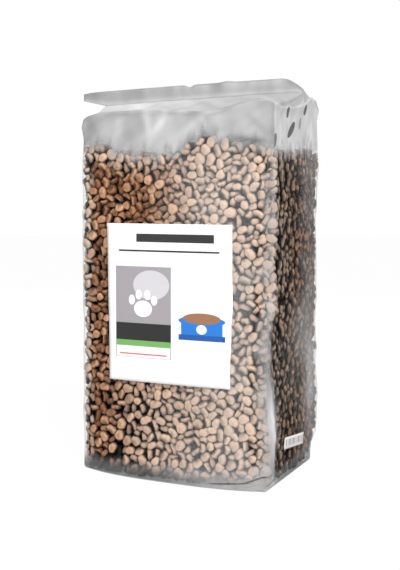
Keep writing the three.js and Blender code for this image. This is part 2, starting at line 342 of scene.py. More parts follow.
@dataclass
class SheetMesh:
    """Points and faces of one piece while it is being made, with numbers kept for each point."""

    points: np.ndarray
    faces: list[np.ndarray]
    marks: dict[str, np.ndarray] = field(default_factory=dict)

    def build(self, name: str, smooth: bool = True) -> bpy.types.Object:
        """Makes the Blender object.

        Args:
            name: The object's name.
            smooth: Whether its faces are shaded smooth.

        Returns:
            The object, linked to the scene.
        """
        mesh = bpy.data.meshes.new(name)
        corners = np.concatenate([faces.ravel() for faces in self.faces]).astype(np.int32)
        counts = np.concatenate([np.full(len(faces), faces.shape[1]) for faces in self.faces])
        mesh.vertices.add(len(self.points))
        mesh.vertices.foreach_set("co", (self.points * MM).astype(np.float32).ravel())
        mesh.loops.add(len(corners))
        mesh.loops.foreach_set("vertex_index", corners)
        mesh.polygons.add(len(counts))
        mesh.polygons.foreach_set("loop_start", (np.cumsum(counts) - counts).astype(np.int32))
        mesh.polygons.foreach_set("use_smooth", np.full(len(counts), smooth))
        mesh.update(calc_edges=True)
        mesh.validate()
        for mark, values in self.marks.items():
            layer = mesh.attributes.new(mark, "FLOAT", "POINT")
            layer.data.foreach_set("value", values.astype(np.float32))
        piece = bpy.data.objects.new(name, mesh)
        bpy.context.scene.collection.objects.link(piece)
        return piece


def grid_faces(rows: int, columns: int, closed: bool) -> np.ndarray:
    """The four-sided faces of a grid of points kept row by row.

    Args:
        rows: How many rows of points there are.
        columns: How many points a row has.
        closed: Whether the last column joins the first.

    Returns:
        The corner numbers of each face; seen from outside they run anticlockwise.
    """
    reach = columns if closed else columns - 1
    row, column = np.divmod(np.arange((rows - 1) * reach), reach)
    following = (column + 1) % columns
    near, far = row * columns, (row + 1) * columns
    return np.stack([near + column, near + following, far + following, far + column], 1)


def fan_faces(count: int, middle: int, first: int = 0, under: bool = False) -> np.ndarray:
    """The three-sided faces that close a ring of points round a middle one.

    Args:
        count: How many points the ring has.
        middle: The middle point's number.
        first: The number of the ring's first point.
        under: Whether the faces look down, not up.

    Returns:
        The corner numbers of each face.
    """
    near = first + np.arange(count)
    far = first + (np.arange(count) + 1) % count
    ends = (far, near) if under else (near, far)
    return np.stack([*ends, np.full(count, middle)], 1)


def thicken(piece: bpy.types.Object, thickness: float, side: float) -> None:
    """Gives a sheet its thickness.

    Args:
        piece: The sheet.
        thickness: The thickness.
        side: Where it lies: -1 behind the sheet, 0 half on each side, 1 before it.
    """
    solid = piece.modifiers.new("thickness", "SOLIDIFY")
    solid.thickness = thickness * MM
    solid.offset = side


class Pose(Enum):
    """How a piece of kibble lies against the film: the share of such pieces and their tilt."""

    FLAT = (0.46, 0, 24)
    LEANING = (0.30, 28, 60)
    ON_EDGE = (0.24, 64, 90)


@dataclass(frozen=True)
class Kibble:
    """The shape and size of the pieces of kibble."""

    radius: float = 6.0
    radius_spread: float = 0.75
    radius_draw: tuple[float, float] = (-1.6, 1.2)
    half_thickness: float = 3.0
    thickness_spread: float = 0.4
    sides: int = 12
    ring_radii: tuple[float, ...] = (0.70, 0.93, 1.0, 0.93, 0.70)
    ring_heights: tuple[float, ...] = (1.0, 0.66, 0.0, -0.66, -1.0)
    middle_height: float = 0.88
    oval: float = 0.28
    lumps: float = 0.06
    warp: float = 0.06
    # Painted shade by ring, from the top's middle round to the underside's: dark at the rim and a
    # little dark in each face's middle.
    rim: tuple[float, ...] = (0.45, 0.0, 0.95, 1.0, 0.95, 0.0, 0.45)

    def shapes(self, count: int, rng: np.random.Generator) -> np.ndarray:
        """Makes pieces round the origin, each an uneven pillow that lies in the XY plane.

        Args:
            count: How many pieces to make.
            rng: The source of chance.

        Returns:
            The points of each piece, of shape (count, points, 3), for a mean radius and
            thickness of 1.
        """
        turn = np.arange(self.sides) * 2 * math.pi / self.sides
        start = rng.uniform(0, 2 * math.pi, (3, count, 1))
        bulge = 1 + self.oval * rng.uniform(0, 1, (count, 1)) * np.cos(2 * turn)
        bulge += self.lumps * np.cos(3 * turn + start[1]) + self.lumps * np.cos(5 * turn + start[2])
        crown = np.zeros((count, 1, 3)) + (0, 0, self.middle_height)
        points = [crown]
        for radius, height in zip(self.ring_radii, self.ring_heights):
            wave = height + self.warp * (np.cos(2 * turn + start[1]) + np.cos(3 * turn + start[0]))
            ring = (radius * bulge * np.cos(turn), radius * bulge * np.sin(turn), wave)
            points.append(np.stack(np.broadcast_arrays(*ring), 2))
        points.append(-crown)
        return np.concatenate(points, 1)

    def rim_shades(self) -> np.ndarray:
        """How much painted shade each point of a piece gets, from 0 to 1: full round its rim, as the
        shade round each piece's outline, and some in the middle of each face, as painted shading of its
        relief.
        """
        counts = [1] + [self.sides] * len(self.ring_radii) + [1]
        return np.repeat(self.rim, counts)

    def faces(self) -> tuple[np.ndarray, np.ndarray]:
        """The four-sided and the three-sided faces of one piece, by its points' numbers."""
        rings = len(self.ring_radii)
        quads = 1 + grid_faces(rings, self.sides, closed=True)[:, ::-1]
        last = 1 + (rings - 1) * self.sides
        top = fan_faces(self.sides, 0, first=1)
        under = fan_faces(self.sides, last + self.sides, first=last, under=True)
        return quads, np.concatenate([top, under])


@dataclass
class Bed:
    """One layer of kibble: each piece's size, tilt and heading, and then its place."""

    radius: np.ndarray
    thick: np.ndarray
    tilt: np.ndarray
    heading: np.ndarray
    centre: np.ndarray | None = None
    outward: np.ndarray | None = None

    @property
    def short(self) -> np.ndarray:
        """The half width of each footprint on the surface that the pieces lie against."""
        return np.hypot(self.radius * np.cos(self.tilt), self.thick * np.sin(self.tilt))

    @property
    def deep(self) -> np.ndarray:
        """How far each piece reaches from its centre towards that surface."""
        return np.hypot(self.radius * np.sin(self.tilt), self.thick * np.cos(self.tilt))

    def part(self, chosen: np.ndarray) -> Bed:
        """The chosen pieces of the bed."""
        return Bed(
            self.radius[chosen], self.thick[chosen], self.tilt[chosen], self.heading[chosen],
            self.centre[chosen], self.outward[chosen],
        )

    def frames(self) -> np.ndarray:
        """The directions of each piece's long way, its other way and its short axis."""
        outward = self.outward / np.linalg.norm(self.outward, axis=1)[:, None]
        upright = np.where(np.abs(outward[:, 2:]) > NEARLY_LEVEL, (0.0, 1.0, 0.0), (0.0, 0.0, 1.0))
        beside = np.cross(upright, outward)
        beside /= np.linalg.norm(beside, axis=1)[:, None]
        above = np.cross(outward, beside)
        heading, tilt = self.heading[:, None], self.tilt[:, None]
        long_way = beside * np.cos(heading) + above * np.sin(heading)
        short_way = np.cross(outward, long_way)
        axis = outward * np.cos(tilt) + short_way * np.sin(tilt)
        return np.stack([long_way, np.cross(axis, long_way), axis], 1)


@dataclass(frozen=True)
class PaintedGlow:
    """Where the kibble on the bag's front is painted pale: a painted glow that stands in for light
    scattered by the milky film over it, more to the right, low down, at the left edge and near the
    heap's top.

    Each pair is the place where the glow starts and the place where it is full.
    """

    across: tuple[float, float] = (-45.0, 45.0)
    wander: Waves = Waves(14.0, 170.0, 1.0)
    low_up: tuple[float, float] = (200.0, 60.0)
    low_across: tuple[float, float] = (-95.0, -15.0)
    edge: tuple[float, float] = (16.0 - HALF_WIDTH, 7.0 - HALF_WIDTH)
    near_top: tuple[float, float] = (-26.0, -6.0)
    near_front: tuple[float, float] = (20.0, -60.0)
    fainter: float = 0.85
    least: float = 0.03
    most: float = 0.68

    def at(self, centre: np.ndarray, heap: np.ndarray) -> np.ndarray:
        """How much painted glow the kibble gets.

        Args:
            centre: Where the pieces lie in the block.
            heap: The height of the heap over each.

        Returns:
            A share from 0 to 1 for each piece.
        """
        x, y, z = centre.T
        across = ease(*self.across, x + self.wander.at(z))
        low = self.fainter * (ease(*self.low_up, z) * ease(*self.low_across, x))
        over = self.fainter * ease(*self.near_top, z - heap)
        pale = np.maximum.reduce([across, low, ease(*self.edge, x), over])
        return np.clip(self.least + self.most * pale * ease(*self.near_front, y), 0, 1)


@dataclass
class KibbleFill:
    """The dry food in the bag: beds of loose pieces against the film, over a heart painted dark as
    shade.
    """

    form: BagForm
    kibble: Kibble = field(default_factory=Kibble)
    painted_glow: PaintedGlow = field(default_factory=PaintedGlow)
    corner_radius: float = 7.5
    least_corner: float = 4.0
    skin_gap: float = 0.4
    foot: float = 6.0
    foot_inset: float = 5.0
    foot_rise: float = 5.0
    foot_tilt: float = -0.6
    wall_area_each: float = 90.0
    wall_rounds: int = 90
    level_rounds: int = 60
    overlap: float = 0.08
    push_share: float = 0.3
    longest_push: float = 3.0
    search_every: int = 8
    search_reach: float = 2.1
    search_margin: float = 4.0
    foot_room: float = 0.9
    top_room: float = 0.8
    depth_drop: float = 0.4
    level_sink: float = 0.6
    unevenness: float = 2.8
    unevenness_power: float = 1.5
    under_area_each: float = 125.0
    under_depth: float = 8.5
    under_top_depth: float = 7.0
    level_inset: float = 11.0
    base_gap: float = 0.2
    heart_depth: float = 16.0
    heart_corner: float = 5.0
    heart_cell: float = 12.0
    heart_lumps: tuple[float, float] = (-2.0, 1.5)
    heart_crown: float = 0.5
    crown_lumps: tuple[float, float] = (-1.0, 1.0)
    heart_tone: float = 0.3
    # Painted shade: how dark the inner layer is painted, and the reach over which points darken away
    # from the film, as in the crevices between pieces.
    gloom: float = 0.93
    rim_light: float = 0.93
    rim_dark: float = 0.34
    # How far the rim's painted shade lowers the tone.
    rim_shade: float = 0.60
    # Painted shade on the pieces that face right, which the light misses.
    side_gloom: float = 0.12
    side_squeeze: tuple[float, float, float] = (0.65, 0.86, 0.97)
    side_from: float = 0.97
    front_from: float = -0.5
    tones: tuple[float, float] = (0.2, 1.05)
    top_line_front: Profile = (
        (-113, 362), (-103, 365), (-90, 366), (-70, 358), (-52, 353), (-16, 353), (2, 356),
        (20, 369), (32, 377), (46, 371), (72, 364), (101, 360), (113, 356),
    )
    top_line_right: Profile = ((-75, 356), (-35, 354), (14, 360), (64, 362), (75, 360))
    right_band_x: tuple[float, float] = (60.0, 52.0)
    right_band_y: tuple[float, float] = (-70.0, 30.0)
    heap_waves: Waves = Waves(3.0, 70.0, 1.3)
    back_drop: float = 2.0
    seed: int = 11
    heart_seed: int = 16
    skin: list[np.ndarray] = field(default_factory=list)

    def heap_at(self, x: np.ndarray, y: np.ndarray) -> np.ndarray:
        """The level of the heap of food under the headspace.

        Args:
            x: The places across the bag.
            y: The places through the bag.

        Returns:
            The height of the heap at each place.
        """
        towards_back = np.clip((y + self.form.half_depth) / (2 * self.form.half_depth), 0, 1)
        front = follow(self.top_line_front, x)
        right = follow(self.top_line_right, y)
        beside = np.ones_like(x)
        for place, (start, run) in ((x, self.right_band_x), (y, self.right_band_y)):
            beside = beside * np.clip((place - start) / run, 0, 1)
        level = front * (1 - towards_back) + (self.form.fill_top - self.back_drop) * towards_back
        return level * (1 - beside) + right * beside + self.heap_waves.at(x + 0.7 * y) * towards_back

    def draw(self, count: int, rng: np.random.Generator) -> Bed:
        """Draws the sizes, tilts and headings of pieces of kibble.

        Args:
            count: How many pieces to draw.
            rng: The source of chance.

        Returns:
            The bed, whose pieces have no place yet.
        """
        shares = np.array([pose.value[0] for pose in Pose])
        bounds = np.radians([pose.value[1:] for pose in Pose])
        pose = rng.choice(len(shares), count, p=shares / shares.sum())
        tilt = rng.uniform(bounds[pose, 0], bounds[pose, 1])
        spread = rng.uniform(*self.kibble.radius_draw, count)
        radius = self.kibble.radius + self.kibble.radius_spread * spread
        thick = self.kibble.half_thickness + self.kibble.thickness_spread * rng.uniform(-1, 1, count)
        return Bed(radius, thick, tilt, rng.uniform(0, math.pi, count))

    def spread_out(
        self, spots: np.ndarray, bed: Bed, keep: Callable[[np.ndarray], np.ndarray],
        period: float, rounds: int,
    ) -> np.ndarray:
        """Pushes footprints apart on a flat map until they hardly overlap.

        Args:
            spots: Where the pieces start, one row each.
            bed: The pieces.
            keep: What keeps spots on the map.
            period: The width after which the map repeats, or 0 if it doesn't.
            rounds: How many times to push.

        Returns:
            The spots after the pushing.
        """
        reach = self.search_reach * float(bed.radius.max()) + self.search_margin
        long_way = np.stack([np.cos(bed.heading), np.sin(bed.heading)], 1)
        short_way = np.stack([-long_way[:, 1], long_way[:, 0]], 1)
        short = bed.short
        for turn in range(rounds):
            if turn % self.search_every == 0:
                apart = self.wrap(spots[:, None] - spots[None], period)
                near = (apart**2).sum(2) < reach**2
                first, second = np.nonzero(np.triu(near, 1))
            gap = self.wrap(spots[first] - spots[second], period)
            distance = np.linalg.norm(gap, axis=1) + TINY
            way = gap / distance[:, None]
            needed = sum(
                np.hypot(
                    bed.radius[one] * (way * long_way[one]).sum(1),
                    short[one] * (way * short_way[one]).sum(1),
                )
                for one in (first, second)
            )
            closer = np.maximum(0, (1 - self.overlap) * needed - distance)
            push = self.push_share * closer[:, None] * way
            shift = np.zeros_like(spots)
            np.add.at(shift, first, push)
            np.add.at(shift, second, -push)
            spots = keep(spots + np.clip(shift, -self.longest_push, self.longest_push))
        return spots

    def wrap(self, apart: np.ndarray, period: float) -> np.ndarray:
        """The shortest way between spots on a map that repeats after a period."""
        if period:
            apart[..., 0] -= period * np.round(apart[..., 0] / period)
        return apart

    def wall_bed(self, depth: float, area_each: float, rng: np.random.Generator) -> Bed:
        """Lays one layer of kibble round the inside of the four panels.

        Args:
            depth: How far behind the film the layer lies.
            area_each: The area of panel that each piece takes.
            rng: The source of chance.

        Returns:
            The bed.
        """
        inset = self.skin_gap + depth
        radius = max(self.corner_radius - depth, self.least_corner)
        shrunk = BagForm(self.form.half_width - inset, self.form.half_depth - inset)
        around = shrunk.spans(radius)[-1]
        count = int(around * (self.form.fill_top - self.foot) / area_each)
        bed = self.draw(count, rng)
        short = bed.short

        def keep(spots: np.ndarray) -> np.ndarray:
            """Keeps spots between the foot and the heap's top."""
            place, _ = shrunk.outline(spots[:, 0], radius)
            top = self.heap_at(*place.T) - self.top_room * short - self.depth_drop * depth
            spots[:, 0] = np.mod(spots[:, 0], around)
            spots[:, 1] = np.clip(spots[:, 1], self.foot + self.foot_room * short, top)
            return spots

        start = rng.uniform((0, self.foot), (around, self.form.fill_top), (count, 2))
        spots = self.spread_out(keep(start), bed, keep, around, self.wall_rounds)
        place, outward = shrunk.outline(spots[:, 0], radius)
        sunk = bed.deep + self.unevenness * rng.uniform(0, 1, count) ** self.unevenness_power
        low_turn = ease(self.corner_radius + self.foot_rise, 0, spots[:, 1])
        inward = sunk + self.foot_inset * low_turn**2
        bed.centre = np.column_stack([place - outward * inward[:, None], spots[:, 1]])
        bed.outward = np.column_stack([outward, self.foot_tilt * low_turn])
        return bed

    def level_bed(self, top: bool, depth: float, area_each: float, rng: np.random.Generator) -> Bed:
        """Lays one level layer of kibble, as the heap's top or on the base.

        Args:
            top: Whether the layer is the heap's top.
            depth: How far it lies under the top of the heap, or over the base.
            area_each: The area that each piece takes.
            rng: The source of chance.

        Returns:
            The bed.
        """
        reach = np.array([self.form.half_width, self.form.half_depth]) - self.level_inset
        count = int(4 * reach[0] * reach[1] / area_each)
        bed = self.draw(count, rng)

        def keep(spots: np.ndarray) -> np.ndarray:
            """Keeps spots on the layer."""
            return np.clip(spots, -reach, reach)

        start = rng.uniform(-reach, reach, (count, 2))
        spots = self.spread_out(start, bed, keep, 0, self.level_rounds)
        if top:
            level = self.heap_at(*spots.T) - depth - self.level_sink * bed.deep
        else:
            level = bed.deep + self.skin_gap + self.base_gap + depth
        bed.centre = np.column_stack([spots, level])
        bed.outward = np.tile((0.0, 0.0, 1.0 if top else -1.0), (count, 1))
        return bed

    def pieces(self, name: str, bed: Bed, gloom: float, rng: np.random.Generator) -> bpy.types.Object:
        """Makes one object of the pieces of a bed.

        Args:
            name: The object's name.
            bed: The bed.
            gloom: How dark the pieces are, lying in others' shade.
            rng: The source of chance.

        Returns:
            The object.
        """
        count = len(bed.radius)
        size = np.stack([bed.radius, bed.radius, bed.thick], 1)
        shapes = self.kibble.shapes(count, rng) * size[:, None]
        offsets = np.einsum("nij,njk->nik", shapes, bed.frames())
        on_side = bed.outward[:, None, :1] > self.side_from
        offsets = np.where(on_side, offsets * self.side_squeeze, offsets)
        reach = np.einsum("nij,nj->ni", offsets, bed.outward) / bed.deep[:, None]
        self.skin.append(offsets + bed.centre[:, None])
        quads, triangles = self.kibble.faces()
        first = (np.arange(count) * shapes.shape[1])[:, None, None]
        # The painted glow: how pale each piece is painted, standing in for light scattered by the film
        # over it.
        painted_glow = self.painted_glow.at(bed.centre, self.heap_at(*bed.centre.T[:2]))
        marks = {
            # Each piece's own random tone, less the painted shade round its rim.
            "tone": (rng.uniform(*self.tones, (count, 1)) - self.rim_shade * self.kibble.rim_shades()).ravel(),
            "painted_glow": np.repeat(painted_glow, shapes.shape[1]),
            "gloom": self.gloom_at(reach, gloom, bed.outward),
        }
        bent = self.form.settle((offsets + bed.centre[:, None]).reshape(-1, 3)).reshape(offsets.shape)
        stiff = offsets + self.form.settle(bed.centre)[:, None]
        points = np.where(bed.outward[:, None, 1:2] < self.front_from, bent, stiff)
        faces = [(quads + first).reshape(-1, 4), (triangles + first).reshape(-1, 3)]
        return SheetMesh(points.reshape(-1, 3), faces, marks).build(name)

    def gloom_at(self, reach: np.ndarray, least: float, outward: np.ndarray) -> np.ndarray:
        """How much painted shade each point gets: more deeper down, and on the right, which the light
        misses.

        Args:
            reach: How near to the film each point of each piece is, from -1 to 1.
            least: The least gloom of the layer.
            outward: The way each piece faces.

        Returns:
            One number for each point.
        """
        deep = ease(self.rim_light, self.rim_dark, reach)
        aside = self.side_gloom * np.clip(outward[:, :1], 0, 1)
        return (1 - (1 - np.maximum(least, deep)) * (1 - aside)).ravel()

    def heart(self) -> bpy.types.Object:
        """Makes the lumpy body of food behind the loose pieces, painted fully in the gloom tint as the
        shade inside the bag.
        """
        rng = np.random.default_rng(self.heart_seed)
        inset, radius = self.heart_depth, self.heart_corner
        shrunk = BagForm(self.form.half_width - inset, self.form.half_depth - inset)
        around = shrunk.spans(radius)[-1]
        columns, rows = int(around / self.heart_cell), int(self.form.fill_top / self.heart_cell)
        along = np.arange(columns) * around / columns
        place, outward = shrunk.outline(along, radius)
        top = self.heap_at(*place.T) - inset
        rings = []
        for level in np.linspace(0, 1, rows):
            lump = rng.uniform(*self.heart_lumps, columns)[:, None]
            rings.append(np.column_stack([place + outward * lump, inset + level * (top - inset)]))
        inner = self.heart_crown * place
        crown = self.heap_at(*inner.T) - inset + rng.uniform(*self.crown_lumps, columns)
        rings.append(np.column_stack([inner, crown]))
        middles = [[(0, 0, float(crown.mean()))], [(0, 0, inset)]]
        points = np.concatenate(rings + middles)
        cap = fan_faces(columns, len(points) - 2, first=rows * columns)
        foot = fan_faces(columns, len(points) - 1, under=True)
        faces = [grid_faces(rows + 1, columns, closed=True), np.concatenate([cap, foot])]
        tone = self.heart_tone * rng.uniform(0, 1, len(points))
        # The heart is in full painted shade.
        marks = {"tone": tone, "painted_glow": np.zeros(len(points)), "gloom": np.ones(len(points))}
        return SheetMesh(self.form.settle(points), faces, marks).build("kibble_heart")

    def build(self) -> list[bpy.types.Object]:
        """Makes all the food, and keeps the points that hold up the film."""
        rng = np.random.default_rng(self.seed)
        walls = self.wall_bed(0, self.wall_area_each, rng)
        under = self.wall_bed(self.under_depth, self.under_area_each, rng)
        levels = {
            "kibble_top": self.level_bed(True, 0, self.wall_area_each, rng),
            "kibble_top_inner": self.level_bed(True, self.under_top_depth, self.under_area_each, rng),
            "kibble_base": self.level_bed(False, 0, self.wall_area_each, rng),
        }
        objects = []
        for bed, layer, gloom in ((walls, "outer", 0.0), (under, "inner", self.gloom)):
            side = facings(bed.outward).argmax(0)
            for face in Face:
                name = f"kibble_{face.name.lower()}_{layer}"
                objects.append(self.pieces(name, bed.part(side == face.value), gloom, rng))
        for name, bed in levels.items():
            gloom = self.gloom if "inner" in name else 0.0
            objects.append(self.pieces(name, bed, gloom, rng))
        objects.append(self.heart())
        return objects


@dataclass(frozen=True)
class Crease:
    """A straight fold or wrinkle pressed into a panel.

    It lifts the film by its height, makes it milkier by its cover, and by its glow paints a highlight
    along the fold, or painted shade in the fold where the glow is below 0.
    """

    face: Face
    start: tuple[float, float]
    end: tuple[float, float]
    height: float
    width: float
    cover: float = 0.0
    glow: float = 0.0
    bluntness: float = 0.12

    def felt(self, place: np.ndarray, level: np.ndarray, outward: np.ndarray) -> np.ndarray:
        """How strongly the crease is felt, from 0 to 1, and only where the film faces its way.

        Args:
            place: The places on the plan, one row each.
            level: The height of each point, with one column for each place.
            outward: The outward direction at each place.

        Returns:
            One number for each point.
        """
        start, end = np.array(self.start), np.array(self.end)
        run = end - start
        along = np.broadcast_to(place[:, self.face.along], level.shape)
        offset = np.stack([along - start[0], level - start[1]], -1)
        share = np.clip(offset @ run / (run @ run), 0, 1)
        aside = np.linalg.norm(offset - share[..., None] * run, axis=-1)
        taper = np.sin(math.pi * (self.bluntness + (1 - 2 * self.bluntness) * share))
        reach = taper * np.exp(-((aside / self.width) ** 2))
        return np.where(facings(outward)[self.face.value] > SQUARE_ON, reach, 0)


@dataclass(frozen=True)
class Veil:
    """How milky the film is along one panel, and its shade: how light it is painted over the food and
    at the foot, as painted light and shade.
    """

    haze: Profile
    shade: Profile
    foot_haze: Profile
    foot_shade: Profile


@dataclass(frozen=True)
class FilmLook:
    """How the film's milkiness and its painted light and shade change over the bag.

    The shade is painted light and shade: the milky film is painted lighter where light scatters in it
    or shines through it, as on the front's right and in the side's headspace, and darker over the food
    on the front's left, at the foot and along the bottom edge; the corner's glint waves are painted
    glints.
    """

    front: Veil = Veil(
        haze=(
            (-113, 0.62), (-108, 0.20), (-101, 0.01), (-45, 0.01),
            (45, 0.13), (96, 0.17), (104, 0.48), (113, 0.56),
        ),
        shade=(
            (-113, 0.80), (-104, 0.50), (-98, 0.14), (-45, 0.14),
            (45, 0.82), (94, 0.82), (103, 0.52), (113, 0.48),
        ),
        foot_haze=((-113, 0.88), (-60, 0.84), (0, 0.72), (60, 0.68), (113, 0.80)),
        foot_shade=((-113, 0.12), (-50, 0.10), (10, 0.11), (60, 0.44), (113, 0.52)),
    )
    right: Veil = Veil(
        haze=((-75, 0.50), (-73, 0.30), (-68, 0.03), (-10, 0.04), (30, 0.20), (70, 0.26), (75, 0.50)),
        shade=((-75, 0.50), (-70, 0.42), (-62, 0.18), (-10, 0.30), (30, 0.64), (70, 0.68), (75, 0.48)),
        foot_haze=((-75, 0.70), (-50, 0.76), (75, 0.70)),
        foot_shade=((-75, 0.46), (-60, 0.16), (-40, 0.02), (30, 0.03), (75, 0.34)),
    )
    back: Veil = Veil(
        haze=((-113, 0.45), (-103, 0.16), (0, 0.05), (106, 0.14), (113, 0.50)),
        shade=((-113, 0.60), (0, 0.55), (106, 0.60), (113, 0.46)),
        foot_haze=((-113, 0.60), (113, 0.60)),
        foot_shade=((-113, 0.25), (113, 0.25)),
    )
    left: Veil = Veil(
        haze=((-75, 0.30), (-65, 0.10), (0, 0.05), (65, 0.12), (75, 0.45)),
        shade=((-75, 0.34), (0, 0.50), (75, 0.60)),
        foot_haze=((-75, 0.60), (75, 0.60)),
        foot_shade=((-75, 0.22), (75, 0.22)),
    )
    foot_band: tuple[float, float] = (24.0, 7.0)
    foot_waves: Waves = Waves(3.0, 31.0, 0.5)
    border_waves: Waves = Waves(12.0, 150.0, 1.0)
    border_hold: tuple[float, float] = (12.0, 40.0)
    patch_waves: Waves = Waves(0.05, 170.0, 0.7)
    small_patch_waves: Waves = Waves(0.03, 90.0, 2.2)
    patch_band: tuple[float, float] = (0.03, 0.16)
    fray: Waves = Waves(6.0, 24.0, 0.3)
    fade: tuple[float, float] = (-10.0, 12.0)
    light_fade: tuple[float, float] = (-32.0, -4.0)
    headspace_haze: float = 0.90
    headspace_shade: Profile = ((-113, 0.43), (-60, 0.46), (0, 0.56), (113, 0.52))
    side_head_shade: float = 0.68
    head_waves: Waves = Waves(0.07, 58.0, 0.9)
    small_head_waves: Waves = Waves(0.05, 33.0, 2.4)
    low_side_shift: float = 14.0
    low_side_band: tuple[float, float] = (220.0, 90.0)
    roof_haze: float = 0.86
    roof_shade: Profile = ((-113, 0.70), (-40, 0.66), (0, 0.56), (60, 0.50), (113, 0.46))
    roof_waves: Waves = Waves(0.06, 64.0, 1.9)
    base_haze: float = 0.5
    corner_band: tuple[float, float] = (88.0, 98.0)
    corner_clearing: float = 0.34
    crumple_waves: Waves = Waves(0.5, 74.0, 0.4)
    glint_waves: Waves = Waves(0.16, 44.4, 1.2)
    # Painted shade along the film's bottom edge, where the bag meets the floor, with a little more
    # haze.
    hem: float = 2.6
    hem_cover: float = 0.25
    hem_dark: float = 0.55

    def on_panels(self, points: np.ndarray, outward: np.ndarray) -> tuple[np.ndarray, np.ndarray]:
        """The haze and the shade over the food.

        Args:
            points: The points in the block.
            outward: The outward direction at each.

        Returns:
            The haze and the shade of each point.
        """
        x, y, z = points.T
        weights = facings(outward)
        total = weights.sum(0) + TINY
        foot = ease(*self.foot_band, z + self.foot_waves.at(x + y))
        haze, shade = np.zeros(len(points)), np.zeros(len(points))
        for face, veil in zip(Face, (self.front, self.right, self.back, self.left)):
            along = points[:, face.along]
            moved = along + self.border_waves.at(z) * self.edge_share(along, face)
            if face is Face.RIGHT:
                moved = moved - self.low_side_shift * ease(*self.low_side_band, z)
            share = weights[face.value] / total
            pairs = ((haze, veil.haze, veil.foot_haze), (shade, veil.shade, veil.foot_shade))
            for kept, over, low in pairs:
                kept += share * (follow(over, moved) * (1 - foot) + follow(low, moved) * foot)
        patch = self.patch_waves.at(x + 0.6 * z) + self.small_patch_waves.at(z - 0.5 * x)
        crumple = 0.5 + self.crumple_waves.at(z + 0.5 * y)
        corner = weights[Face.FRONT.value] * ease(*self.corner_band, x) * (1 - foot)
        haze = haze - self.corner_clearing * corner * crumple
        shade = shade + corner * self.glint_waves.at(z - x)
        return haze + patch * ease(*self.patch_band, haze), shade

    def edge_share(self, along: np.ndarray, face: Face) -> np.ndarray:
        """How far the haze's borders may wander: freely in a panel's middle, not at its creases."""
        half = (HALF_WIDTH, HALF_DEPTH)[face.along]
        held, free = self.border_hold
        return ease(half - held, half - free, np.abs(along))

    def marks(
        self, points: np.ndarray, outward: np.ndarray, food_level: np.ndarray,
    ) -> dict[str, np.ndarray]:
        """The haze and the shade of the whole sheet.

        Args:
            points: The points in the block.
            outward: The outward direction at each.
            food_level: The height of the food behind each point.

        Returns:
            The marks by their names, each from 0 to 1.
        """
        x, y, z = points.T
        haze, shade = self.on_panels(points, outward)
        above_food = z - food_level + self.fray.at(x - y)
        haze = haze + (self.headspace_haze - haze) * ease(*self.fade, above_food)
        right = np.clip(outward[:, 0], 0, 1)
        above = follow(self.headspace_shade, x) * (1 - right) + self.side_head_shade * right
        above = above + self.head_waves.at(x + 0.4 * z + y) + self.small_head_waves.at(0.6 * x - z + y)
        shade = shade + (above - shade) * ease(*self.light_fade, above_food)
        roof, base = (outward[:, 2] > SQUARE_ON), (outward[:, 2] < -SQUARE_ON)
        haze = np.where(roof, self.roof_haze, np.where(base, self.base_haze, haze))
        on_roof = follow(self.roof_shade, x) + self.roof_waves.at(x + 1.4 * y)
        shade = np.where(roof, on_roof, shade)
        hem = ease(self.hem, 0, z) * (1 - base)
        haze, shade = haze + self.hem_cover * hem, shade * (1 - self.hem_dark * hem)
        return {"haze": haze, "shade": shade, "right": right, "front": np.clip(-outward[:, 1], 0, 1)}


